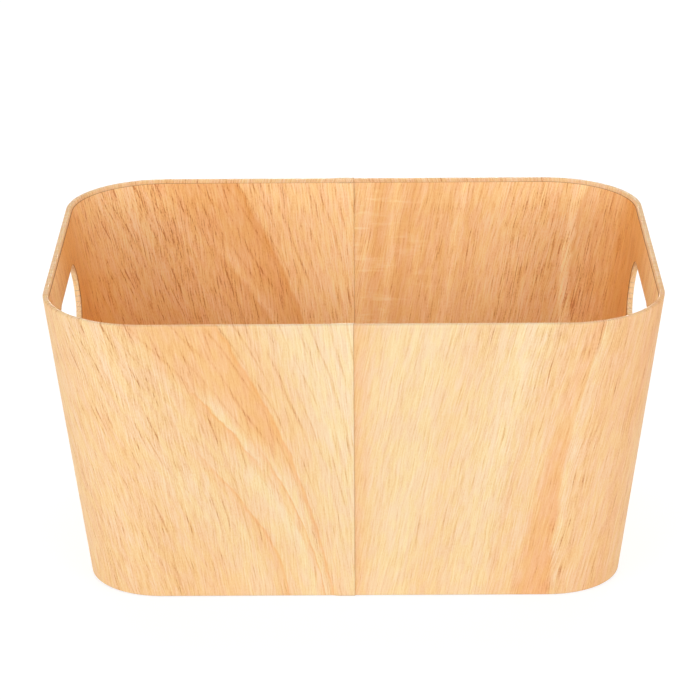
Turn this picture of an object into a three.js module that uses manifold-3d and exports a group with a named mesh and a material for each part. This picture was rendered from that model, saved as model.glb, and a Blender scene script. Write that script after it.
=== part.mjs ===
// A tapered cardboard basket with two hand slots, papered inside and out, in millimetres with +Z up.
// The origin is the middle of the underside. The long side runs along X and the front faces -Y.
import * as THREE from "three";
import { mergeVertices } from "three/addons/utils/BufferGeometryUtils.js";
import Module from "manifold-3d";

const wasm = await Module();
wasm.setup();

// Outside of the basket
const rimLength = 310; // along X, over the outer faces at the rim
const rimWidth = 240; // along Y
const rimHeight = 152.8; // outer edge of the rim above the surface it stands on
const wallLean = 19.6; // how far each wall comes in between the rim and the surface
const rimCornerRadius = 52;
const footCornerRadius = 38;

// Sheets that the basket is glued up from
const boardThickness = 2.2; // walls
const baseThickness = 2.2;
const paperThickness = 0.2; // printed papers, joint tape and underside paper
const glueLine = 0.1; // between two glued sheets
const edgeRounding = 0.5; // of the wall board's pressed edges
const baseClearance = 0.3; // base board to wall board
const floorClearance = 0.3; // floor lining to the liner's innermost layer

// Wrap margins, liner and underside
const rimTurnIn = 16; // wrap, down the inside of the wall
const footTurnIn = 12; // wrap, under the base, from the outer face
const linerDrop = 2; // liner's top edge below the rim's inner edge
const linerFoot = 10; // liner, over the base board
const joggleHeight = 1; // length of the liner's step off the turned-in wrap
const joggleClearance = 1; // that step below the wrap's edge
const undersideInset = 4; // underside paper from the outer face

// Seams in the middle of the front and the back
const boardButtGap = 0.3;
const seamLap = 8; // left papers over right papers
const lapRamp = 1.5; // in which a paper rises on to the one below
const tapeWidth = 24;
const tapeClearance = 0.5; // tape to the wrap's edge, to the base board and to the liner's rise

// Hand slots in the two end walls
const slotLength = 90;
const slotHeight = 30;
const slotDrop = 21.5; // upper edge below the rim, down the slope
const slotTab = 4.8; // wrap tabs turned in round the slot, on the inside of the board
const slotTabPitch = 3; // tab width round the slot's ends
const slitWidth = 0.3; // between two tabs
const linerSetback = 1.2; // liner's edge from the slot's edge
const slotPadMargin = 1; // liner raised past the tabs

// Slits in the foot margin of the wrap
const footSlitPitch = 9;
const footSlitStart = 2.5; // from the outer face

const cutOverrun = 2; // past both faces of what is cut

// Facets of the round stretches
const cornerFacets = 14;
const edgeFacets = 3;
const slotFacets = 8;

// Levels, counted from the outer face and from the surface that the basket stands on
const sheetStep = paperThickness + glueLine;
const boardOuter = sheetStep;
const boardInner = boardOuter + boardThickness;
const wallThickness = boardInner + sheetStep;
const boardFoot = 3 * sheetStep;
const baseTop = boardFoot + baseThickness;
const boardTop = rimHeight - sheetStep;
const leanSlope = wallLean / rimHeight;
const leanAngle = Math.atan(leanSlope);
const turnInEnd = rimHeight - rimTurnIn;
const linerTop = rimHeight + wallThickness * leanSlope - linerDrop;
const quarterTurn = Math.PI / 2;

const rimOutline = {
  halfLength: rimLength / 2,
  halfWidth: rimWidth / 2,
  radius: rimCornerRadius,
};
const footOutline = {
  halfLength: rimLength / 2 - wallLean,
  halfWidth: rimWidth / 2 - wallLean,
  radius: footCornerRadius,
};

// A column is one straight line up the outer face of the wall, with the level direction into the wall.
// raised and lapped count how many sheets a paper steps away from the wall and from the base there.
function makeColumn(at, inward, raised = 0, lapped = 0) {
  return { foot: at(footOutline), rim: at(rimOutline), inward, raised, lapped };
}

function cornerColumn(side, end, turn) {
  const outward = new THREE.Vector2(side * Math.sin(turn), end * Math.cos(turn));
  const at = ({ halfLength, halfWidth, radius }) =>
    new THREE.Vector2(side * (halfLength - radius), end * (halfWidth - radius)).addScaledVector(
      outward,
      radius,
    );
  return makeColumn(at, outward.clone().negate());
}

function longWallColumn(end, x, raised, lapped) {
  const at = ({ halfWidth }) => new THREE.Vector2(x, end * halfWidth);
  return makeColumn(at, new THREE.Vector2(0, -end), raised, lapped);
}

function endWallColumn(side, y, raised) {
  const at = ({ halfLength }) => new THREE.Vector2(side * halfLength, y);
  return makeColumn(at, new THREE.Vector2(-side, 0), raised);
}

// The columns round one rounded corner, from the long wall to the end wall.
function cornerColumns(side, end) {
  return Array.from({ length: cornerFacets + 1 }, (_, step) =>
    cornerColumn(side, end, (quarterTurn * step) / cornerFacets),
  );
}

// The columns of one half of the wall, from the front seam round the end wall to the back seam.
// seam lists { along, raised, lapped }, where along is the distance from the middle into the half.
function halfWallColumns(side, seam, endWall = []) {
  const atSeam = (end) =>
    seam.map(({ along, raised = 0, lapped = 0 }) =>
      longWallColumn(end, side * along, raised, lapped),
    );
  return [
    ...atSeam(-1),
    ...cornerColumns(side, -1),
    ...endWall.map(({ along, raised }) => endWallColumn(side, along, raised)),
    ...cornerColumns(side, 1).reverse(),
    ...atSeam(1).reverse(),
  ];
}

// A point of a wall section, at a level depth from the outer face and a height, placed on a column.
function placeOnColumn(column, { depth, height, depthLift = 0, heightLift = 0 }) {
  const z = height + column.lapped * heightLift;
  const spot = column.foot
    .clone()
    .lerp(column.rim, z / rimHeight)
    .addScaledVector(column.inward, depth + column.raised * depthLift);
  return [spot.x, spot.y, z];
}

// A closed section carried along the columns, with its two ends closed.
function sweepSection(columns, section) {
  const positions = columns.flatMap((column) =>
    section.flatMap((point) => placeOnColumn(column, point)),
  );
  const index = [];
  const count = section.length;
  for (let step = 0; step + 1 < columns.length; step += 1) {
    const here = step * count;
    const next = here + count;
    for (let point = 0; point < count; point += 1) {
      const after = (point + 1) % count;
      index.push(here + point, next + after, next + point);
      index.push(here + point, here + after, next + after);
    }
  }
  const last = (columns.length - 1) * count;
  const contour = section.map(({ depth, height }) => new THREE.Vector2(depth, height));
  for (const [a, b, c] of THREE.ShapeUtils.triangulateShape(contour, [])) {
    index.push(a, b, c);
    index.push(last + a, last + c, last + b);
  }
  const geometry = new THREE.BufferGeometry();
  geometry.setAttribute("position", new THREE.Float32BufferAttribute(positions, 3));
  geometry.setIndex(index);
  return geometry;
}

// A closed geometry as a solid, turned right side out where its columns ran the other way round.
function toSolid(geometry) {
  const bare = geometry.clone();
  bare.deleteAttribute("normal");
  bare.deleteAttribute("uv");
  const merged = mergeVertices(bare);
  const triVerts = new Uint32Array(merged.index.array);
  const mesh = { numProp: 3, vertProperties: merged.attributes.position.array, triVerts };
  const solid = new wasm.Manifold(new wasm.Mesh(mesh));
  if (solid.volume() > 0) {
    return solid;
  }
  return new wasm.Manifold(new wasm.Mesh({ ...mesh, triVerts: triVerts.slice().reverse() }));
}

function toGeometry(solid) {
  const { vertProperties, triVerts, numProp } = solid.getMesh();
  const geometry = new THREE.BufferGeometry();
  geometry.setAttribute("position", new THREE.BufferAttribute(vertProperties, numProp));
  geometry.setIndex(new THREE.BufferAttribute(triVerts, 1));
  geometry.computeVertexNormals();
  return geometry;
}

// Sections. A path point lies on the board's surface, with out pointing away from the board.
function edgeArc(centreDepth, centreHeight, from, to) {
  return Array.from({ length: edgeFacets + 1 }, (_, step) => {
    const turn = from + ((to - from) * step) / edgeFacets;
    const out = new THREE.Vector2(Math.cos(turn), Math.sin(turn));
    return {
      depth: centreDepth + edgeRounding * out.x,
      height: centreHeight + edgeRounding * out.y,
      out,
    };
  });
}

// The wall board's outer foot edge and its two rim edges. The rim is cut square to the leaning wall.
function boardEdges() {
  const nearOuter = boardOuter + edgeRounding;
  const nearInner = boardInner - edgeRounding;
  const nearTop = boardTop - edgeRounding;
  const footEdge = edgeArc(nearOuter, boardFoot + edgeRounding, -quarterTurn, -2 * quarterTurn);
  const rimEdges = [
    ...edgeArc(nearOuter, nearTop, 2 * quarterTurn, quarterTurn),
    ...edgeArc(nearInner, nearTop, quarterTurn, 0),
  ];
  const squared = rimEdges.map((point) => ({
    ...point,
    height: point.height + point.depth * leanSlope,
  }));
  return [...footEdge, ...squared];
}

// A sheet glued along a path, one glue line off it. Sections run clockwise, with depth to the right.
function sheetSection(path) {
  const surface = (offset) =>
    path.map(({ depth, height, out }) => ({
      depth: depth + offset * out.x,
      height: height + offset * out.y,
      depthLift: sheetStep * out.x,
      heightLift: sheetStep * out.y,
    }));
  return [...surface(sheetStep), ...surface(glueLine).reverse()];
}

function wallBoardSection() {
  return [...boardEdges(), { depth: boardInner, height: boardFoot }];
}

function outerWrapSection() {
  return sheetSection([
    { depth: footTurnIn, height: boardFoot, out: new THREE.Vector2(0, -1) },
    ...boardEdges(),
    { depth: boardInner, height: turnInEnd, out: new THREE.Vector2(1, 0) },
  ]);
}

function innerLinerSection() {
  const inwards = new THREE.Vector2(1, 0);
  const joggleTop = turnInEnd - joggleClearance;
  return sheetSection([
    { depth: boardInner + sheetStep, height: linerTop, out: inwards },
    { depth: boardInner + sheetStep, height: joggleTop, out: inwards },
    { depth: boardInner, height: joggleTop - joggleHeight, out: inwards },
    { depth: boardInner, height: baseTop, out: new THREE.Vector2(1, 1) },
    { depth: boardInner + linerFoot, height: baseTop, out: new THREE.Vector2(0, 1) },
  ]);
}

function jointTapeSection() {
  const inwards = new THREE.Vector2(1, 0);
  return sheetSection([
    { depth: boardInner, height: turnInEnd - tapeClearance, out: inwards },
    { depth: boardInner, height: baseTop + tapeClearance, out: inwards },
  ]);
}

// A flat sheet that fills the basket's rounded outline at one depth in from the outer face.
function levelSheet(depth, height, thickness) {
  const columns = [
    ...cornerColumns(1, -1),
    ...cornerColumns(1, 1).reverse(),
    ...cornerColumns(-1, 1),
    ...cornerColumns(-1, -1).reverse(),
  ];
  const outline = columns.map((column) => {
    const [x, y] = placeOnColumn(column, { depth, height });
    return new THREE.Vector2(x, y);
  });
  const extrusion = { depth: thickness, bevelEnabled: false };
  return new THREE.ExtrudeGeometry(new THREE.Shape(outline), extrusion).translate(0, 0, height);
}

// Hand slots. The slot's own frame lies in the outer face of its end wall: X along the wall,
// Y up the slope, Z out of the wall.
const slotRadius = slotHeight / 2;
const slotCentreAlong = slotLength / 2 - slotRadius;

function slotFrame(side) {
  const z = rimHeight - (slotDrop + slotRadius) * Math.cos(leanAngle);
  const [x, y] = placeOnColumn(endWallColumn(side, 0), { depth: 0, height: z });
  const along = new THREE.Vector3(0, side, 0);
  const upSlope = new THREE.Vector3(side * Math.sin(leanAngle), 0, Math.cos(leanAngle));
  const outward = along.clone().cross(upSlope);
  return new THREE.Matrix4().makeBasis(along, upSlope, outward).setPosition(x, y, z);
}

// A shape drawn in the slot's frame, extruded between two depths of the end wall.
function slotPrism(side, shape, nearDepth, farDepth) {
  const squareDepth = (depth) => depth * Math.cos(leanAngle);
  const geometry = new THREE.ExtrudeGeometry(shape, {
    depth: squareDepth(farDepth - nearDepth),
    bevelEnabled: false,
    curveSegments: slotFacets,
  });
  geometry.translate(0, 0, -squareDepth(farDepth)).applyMatrix4(slotFrame(side));
  return toSolid(geometry);
}

// The slot's outline with round ends, grown by a margin all round.
function slotShape(margin) {
  const radius = slotRadius + margin;
  return new THREE.Shape()
    .absarc(slotCentreAlong, 0, radius, -quarterTurn, quarterTurn)
    .absarc(-slotCentreAlong, 0, radius, quarterTurn, 3 * quarterTurn);
}

function slotCutter(side, margin) {
  return slotPrism(side, slotShape(margin), -cutOverrun, wallThickness + sheetStep + cutOverrun);
}

// A slit that widens along its length, seen along the sheet that it cuts.
function slitShape(centre, turn, from, to, startWidth, endWidth) {
  const corners = [
    new THREE.Vector2(from, -startWidth / 2),
    new THREE.Vector2(to, -endWidth / 2),
    new THREE.Vector2(to, endWidth / 2),
    new THREE.Vector2(from, startWidth / 2),
  ];
  const origin = new THREE.Vector2(0, 0);
  return new THREE.Shape(corners.map((corner) => corner.rotateAround(origin, turn).add(centre)));
}

// The tabs fan out round the slot's ends: they meet at the fold and stand apart at their tips.
function slotSlits(side) {
  const count = Math.max(2, Math.round((2 * quarterTurn * slotRadius) / slotTabPitch));
  const reach = slotTab + cutOverrun;
  const tipWidth = slitWidth + (slotTabPitch * reach) / slotRadius;
  return [1, -1].flatMap((end) =>
    Array.from({ length: count + 1 }, (_, step) => {
      const fromAxis = (2 * quarterTurn * step) / count - quarterTurn;
      const turn = end > 0 ? fromAxis : fromAxis + 2 * quarterTurn;
      const centre = new THREE.Vector2(end * slotCentreAlong, 0);
      const start = slotRadius - paperThickness;
      const shape = slitShape(centre, turn, start, slotRadius + reach, slitWidth, tipWidth);
      return slotPrism(side, shape, sheetStep, wallThickness + cutOverrun);
    }),
  );
}

// Slits across the wrap's foot margin, so that it lies flat round the corners of the base.
function footSlits(side) {
  const count = Math.max(2, Math.round((quarterTurn * footCornerRadius) / footSlitPitch));
  return [1, -1].flatMap((end) =>
    Array.from({ length: count - 1 }, (_, step) => {
      const turn = (quarterTurn * (step + 1)) / count;
      const { foot, inward } = cornerColumn(side, end, turn);
      const length = footTurnIn + cutOverrun;
      const shape = slitShape(foot, inward.angle(), footSlitStart, length, slitWidth, slitWidth);
      const extrusion = { depth: boardFoot, bevelEnabled: false };
      return toSolid(new THREE.ExtrudeGeometry(shape, extrusion));
    }),
  );
}

// Pieces
function wallBoard(side) {
  const columns = halfWallColumns(side, [{ along: boardButtGap / 2 }]);
  const board = toSolid(sweepSection(columns, wallBoardSection()));
  return toGeometry(board.subtract(slotCutter(side, sheetStep)));
}

function outerWrap(side, seam) {
  const hem = slotPrism(side, slotShape(paperThickness), paperThickness / 2, wallThickness);
  const tabs = slotPrism(side, slotShape(slotTab), boardInner + glueLine, wallThickness);
  const sheet = toSolid(sweepSection(halfWallColumns(side, seam), outerWrapSection()));
  const holed = sheet.add(hem).add(tabs).subtract(slotCutter(side, 0));
  const slits = [...slotSlits(side), ...footSlits(side)];
  return toGeometry(slits.reduce((wrap, slit) => wrap.subtract(slit), holed));
}

function innerLiner(side, seam) {
  const padEnd = slotLength / 2 + slotTab + slotPadMargin;
  const endWall = [
    { along: -padEnd - lapRamp, raised: 0 },
    { along: -padEnd, raised: 1 },
    { along: padEnd, raised: 1 },
    { along: padEnd + lapRamp, raised: 0 },
  ];
  const columns = halfWallColumns(side, seam, endWall);
  const liner = toSolid(sweepSection(columns, innerLinerSection()));
  return toGeometry(liner.subtract(slotCutter(side, linerSetback)));
}

function jointTape(end) {
  const edges = [-tapeWidth / 2, tapeWidth / 2].map((x) => longWallColumn(end, x, 0, 0));
  return toGeometry(toSolid(sweepSection(edges, jointTapeSection())));
}

const left = -1;
const right = 1;
const front = -1;
const back = 1;

// Each left paper ends in the middle, on top of the right paper's lap.
const lapEdge = -(seamLap - glueLine);
const tapeRise = tapeWidth / 2 + tapeClearance;
const wrapSeams = {
  left: [
    { along: 0, raised: 1, lapped: 1 },
    { along: seamLap, raised: 1, lapped: 1 },
    { along: seamLap + lapRamp },
  ],
  right: [{ along: lapEdge }],
};
const linerSeams = {
  left: [
    { along: 0, raised: 2, lapped: 1 },
    { along: seamLap, raised: 2, lapped: 1 },
    { along: seamLap + lapRamp, raised: 1 },
    { along: Math.max(tapeRise, seamLap + 2 * lapRamp), raised: 1 },
    { along: Math.max(tapeRise, seamLap + 2 * lapRamp) + lapRamp },
  ],
  right: [
    { along: lapEdge, raised: 1 },
    { along: tapeRise, raised: 1 },
    { along: tapeRise + lapRamp },
  ],
};

const finishes = {
  greyboard: { color: 0x9d9382, roughness: 0.92, metalness: 0 },
  printedPaper: { color: 0xe9bd86, roughness: 0.52, metalness: 0 },
  tape: { color: 0xc8a878, roughness: 0.85, metalness: 0 },
  plainPaper: { color: 0xc9a87c, roughness: 0.85, metalness: 0 },
};

const basket = new THREE.Group();

function addPiece(name, geometry, finish) {
  const piece = new THREE.Mesh(geometry, new THREE.MeshStandardMaterial(finish));
  piece.name = name;
  basket.add(piece);
}

addPiece("wall_board_left", wallBoard(left), finishes.greyboard);
addPiece("wall_board_right", wallBoard(right), finishes.greyboard);
addPiece("joint_tape_front", jointTape(front), finishes.tape);
addPiece("joint_tape_back", jointTape(back), finishes.tape);
addPiece("outer_wrap_right", outerWrap(right, wrapSeams.right), finishes.printedPaper);
addPiece("outer_wrap_left", outerWrap(left, wrapSeams.left), finishes.printedPaper);
addPiece(
  "base_board",
  levelSheet(boardInner + baseClearance, boardFoot, baseThickness),
  finishes.greyboard,
);
addPiece("inner_liner_right", innerLiner(right, linerSeams.right), finishes.printedPaper);
addPiece("inner_liner_left", innerLiner(left, linerSeams.left), finishes.printedPaper);
addPiece(
  "floor_lining",
  levelSheet(
    wallThickness + 2 * sheetStep + floorClearance,
    baseTop + 2 * sheetStep + glueLine,
    paperThickness,
  ),
  finishes.printedPaper,
);
addPiece("underside_paper", levelSheet(undersideInset, 0, paperThickness), finishes.plainPaper);

export default basket;
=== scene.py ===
"""The looks of a papered cardboard basket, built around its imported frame.

The basket is glued up from greyboard halves, joint tapes, printed wraps and liners, a base board and two
level papers. The boards and tapes are the frame's own nodes. Every paper that shows is worked out here as a
fine sheet with its folds, laps and notched slot tabs, and carries the place of each point on the flat
printed sheet, so that the wood print runs round the corners and over the folds as on the real paper.
Sizes in the classes are millimetres and become metres when a mesh is made.
"""

import logging
import math
from dataclasses import dataclass, fields, replace
from enum import Enum

import bpy
import numpy as np
from mathutils import Matrix, Vector


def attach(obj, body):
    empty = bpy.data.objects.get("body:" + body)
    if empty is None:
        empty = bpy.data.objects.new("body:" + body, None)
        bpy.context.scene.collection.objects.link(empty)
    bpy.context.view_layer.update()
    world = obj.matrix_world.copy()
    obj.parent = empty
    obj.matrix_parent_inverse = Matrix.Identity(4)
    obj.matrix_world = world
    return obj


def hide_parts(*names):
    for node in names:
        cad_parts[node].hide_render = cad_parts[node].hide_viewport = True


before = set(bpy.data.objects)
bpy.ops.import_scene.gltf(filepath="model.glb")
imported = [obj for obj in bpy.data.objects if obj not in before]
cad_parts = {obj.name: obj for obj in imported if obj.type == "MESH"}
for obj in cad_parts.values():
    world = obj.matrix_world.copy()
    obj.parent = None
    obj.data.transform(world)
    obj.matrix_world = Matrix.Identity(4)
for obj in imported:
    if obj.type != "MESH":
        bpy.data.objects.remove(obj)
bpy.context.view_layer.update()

log = logging.getLogger("basket")
Array = np.ndarray
Socket = bpy.types.NodeSocket
Colour = tuple[float, float, float]

MM = 0.001
QUARTER = math.pi / 2.0
FAR = 1.0e3  # a distance from something that the place has nothing to do with
TINY = 1.0e-6


class Side(Enum):
    """The two halves of the wall."""

    LEFT = -1
    RIGHT = 1


class Walls(Enum):
    """The walls between the corners. The value says where half() gives half their length."""

    LONG = 0
    END = 1


class Shows(Enum):
    """Which way a sheet's printed face looks."""

    OUTWARDS = 1
    INWARDS = -1


def ease(share: Array) -> Array:
    """Runs smoothly from 0 to 1: three times the square less twice the cube, held at the ends."""
    held = np.clip(share, 0.0, 1.0)
    return held * held * (3.0 - 2.0 * held)


def pairs(first: object, second: object) -> Array:
    """Two rows of numbers side by side, n by 2. One of them may be a single number."""
    return np.stack(np.broadcast_arrays(first, second), axis=-1)


def ways(turns: Array) -> Array:
    """Unit directions at turns from the first axis towards the second, n by 2."""
    return pairs(np.cos(turns), np.sin(turns))


def notched_turns(tabs: int, span: float, half_slit: float, steps: int) -> Array:
    """Turns round an arc that slits part into equal tabs.

    Each tab runs from half a slit past its start to half a slit before its end, in equal steps.

    Args:
        tabs: Number of tabs.
        span: The arc's whole turn in radians.
        half_slit: Half a slit's turn.
        steps: Steps across one tab.

    Returns:
        Turns in rising order, steps + 1 to a tab.
    """
    pitch = span / tabs
    across = np.linspace(half_slit, pitch - half_slit, steps + 1)
    return (pitch * np.arange(tabs)[:, None] + across[None, :]).ravel()


def fold_arc(centre: tuple[float, float], radius: float, start: float, stop: float, steps: int) -> Array:
    """Depths and heights round a fold: its centre and a radius turned from start to stop, in degrees."""
    return np.array(centre) + radius * ways(np.radians(np.linspace(start, stop, steps + 1)))


@dataclass(frozen=True)
class SheetStack:
    """Thicknesses of what the wall is glued up from, and the levels that follow, from the outer face in."""

    board: float = 2.2
    base: float = 2.2
    paper: float = 0.2
    glue: float = 0.1
    edge_rounding: float = 0.5
    floor_clearance: float = 0.3
    underside_inset: float = 4.0

    @property
    def step(self) -> float:
        """One paper with its glue line."""
        return self.paper + self.glue

    @property
    def wall(self) -> float:
        """Depth of the turned-in wrap's printed face."""
        return self.step + self.board + self.step

    @property
    def board_foot(self) -> float:
        """Height of the boards' undersides."""
        return 3.0 * self.step

    @property
    def base_top(self) -> float:
        """Height of the base board's upper face."""
        return self.board_foot + self.base


@dataclass(frozen=True)
class FlatLines:
    """Where the straight lines up the wall lie on the flat sheet.

    Attributes:
        feet: Their lower ends, n by 2.
        turns: Their turns from upright.
        lengths: Their lengths.
    """

    feet: Array
    turns: Array
    lengths: Array

    def backwards(self) -> "FlatLines":
        """The same lines in the other order."""
        return FlatLines(self.feet[::-1], self.turns[::-1], self.lengths[::-1])

    def places(self, run: Array) -> Array:
        """Places on the sheet, n by m by 2, at distances up each line, n by m."""
        return self.feet[:, None] + run[..., None] * pairs(np.sin(self.turns), np.cos(self.turns))[:, None]


@dataclass(frozen=True)
class Columns:
    """Straight lines up the wall, from the front seam round one end to the back seam.

    Attributes:
        foot: Their level places at the foot, n by 2.
        rim: Their level places at the rim, n by 2.
        inward: Level unit directions into the wall, n by 2.
        seam_gap: Distance from the nearer seam on the long walls, far off elsewhere.
        end_along: Place along the end wall, far off elsewhere.
    """

    foot: Array
    rim: Array
    inward: Array
    seam_gap: Array
    end_along: Array

    def backwards(self) -> "Columns":
        """The same lines in the other order."""
        return Columns(*(getattr(self, each.name)[::-1] for each in fields(self)))

    @staticmethod
    def joined(*parts: "Columns") -> "Columns":
        """The lines of several parts, one part after the other."""
        return Columns(*(
            np.concatenate([getattr(part, each.name) for part in parts]) for each in fields(Columns)
        ))

    def unroll(self, depth: float, height: float) -> FlatLines:
        """Unrolls the lines on to a plane, whose first axis starts at the first line's seam.

        Each line turns from the last by the angle between the two, and its foot lies one level step further
        on, at the angle that the step makes with the line. Both are running sums.

        Args:
            depth: Level depth of the face that is unrolled.
            height: Height over which foot and rim lie apart.

        Returns:
            The lines on the plane.
        """
        low = np.insert(self.foot + self.inward * depth, 2, 0.0, axis=1)
        line = np.insert(self.rim + self.inward * depth, 2, height, axis=1) - low
        length = np.linalg.norm(line, axis=1)
        line /= length[:, None]
        move = np.diff(low, axis=0)
        gap = np.linalg.norm(move, axis=1)
        apart = np.arccos(np.clip(np.sum(line[1:] * line[:-1], axis=1), -1.0, 1.0))
        lean = np.arccos(np.clip(np.sum(move * line[:-1], axis=1) / gap, -1.0, 1.0))
        turn = np.concatenate([[0.0], np.cumsum(apart)])
        heading = turn[:-1] + lean
        steps = gap[:, None] * pairs(np.sin(heading), np.cos(heading))
        feet = np.vstack([[0.0, 0.0], np.cumsum(steps, axis=0)]) + [self.seam_gap[0], 0.0]
        return FlatLines(feet, turn, length)


@dataclass(frozen=True)
class HandSlot:
    """The round-ended slot in each end wall, drawn in the slope of the wall.

    Attributes:
        drop: Upper edge below the rim, down the slope.
        tabs: Paper tabs round each of its ends.
        slit: Width of the slits between the tabs at the fold.
        window: Half length and half height of the patch of wall that is meshed round the slot.
    """

    length: float = 90.0
    height: float = 30.0
    drop: float = 21.5
    tabs: int = 16
    tab_steps: int = 4
    slit: float = 0.16
    straight_steps: int = 20
    window: tuple[float, float] = (52.0, 18.1)
    corner_steps: int = 23
    side_steps: int = 35

    @property
    def radius(self) -> float:
        """Radius of the round ends."""
        return self.height / 2.0

    @property
    def centre_along(self) -> float:
        """Distance of each round end's centre from the middle."""
        return self.length / 2.0 - self.radius

    def distance(self, along: Array, up: Array) -> Array:
        """Distance outside the slot's edge: from the line that joins its two centres, less the radius."""
        return np.hypot(np.maximum(np.abs(along) - self.centre_along, 0.0), up) - self.radius

    def window_alongs(self) -> Array:
        """Places of the patch's mesh lines along the wall, close together round the slot's ends.

        Returns:
            The places in rising order.
        """
        wide, centre = self.window[0], self.centre_along
        outer = np.linspace(centre, wide, self.corner_steps + 1)
        middle = np.linspace(-centre, centre, self.straight_steps + 1)
        return np.concatenate([-outer[:0:-1], middle, outer[1:]])

    def loop(self) -> tuple[Array, Array, Array, Array]:
        """The slot's outline, point by point, from the lower end of its right arc and round to the left.

        Returns:
            Centres of curvature (k by 2), turns of the points, turns of the tabs that the points belong to,
            and a mark for each step that is a slit.
        """
        half = self.slit / 2.0 / self.radius
        fan = notched_turns(self.tabs, math.pi, half, self.tab_steps) - QUARTER
        arc = np.concatenate([[-QUARTER - half], fan, [QUARTER + half]])
        pitch = math.pi / self.tabs
        middles = np.repeat(pitch * (np.arange(self.tabs) + 0.5) - QUARTER, self.tab_steps + 1)
        arc_tabs = np.concatenate([[-QUARTER], middles, [QUARTER]])
        gaps = np.zeros(len(arc), bool)
        gaps[:: self.tab_steps + 1] = True
        inner = np.linspace(self.centre_along, -self.centre_along, self.straight_steps + 1)[1:-1]
        right, left = ([[sign * self.centre_along, 0.0]] * len(arc) for sign in (1.0, -1.0))
        centres = np.concatenate([right, pairs(inner, 0.0), left, pairs(-inner, 0.0)])
        up, down = np.full(len(inner), QUARTER), np.full(len(inner), -QUARTER)
        turns = np.concatenate([arc, up, arc + math.pi, down])
        tab_turns = np.concatenate([arc_tabs, up, arc_tabs + math.pi, down])
        none = np.zeros(len(inner), bool)
        return centres, turns, tab_turns, np.concatenate([gaps, none, gaps, none])


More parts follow.
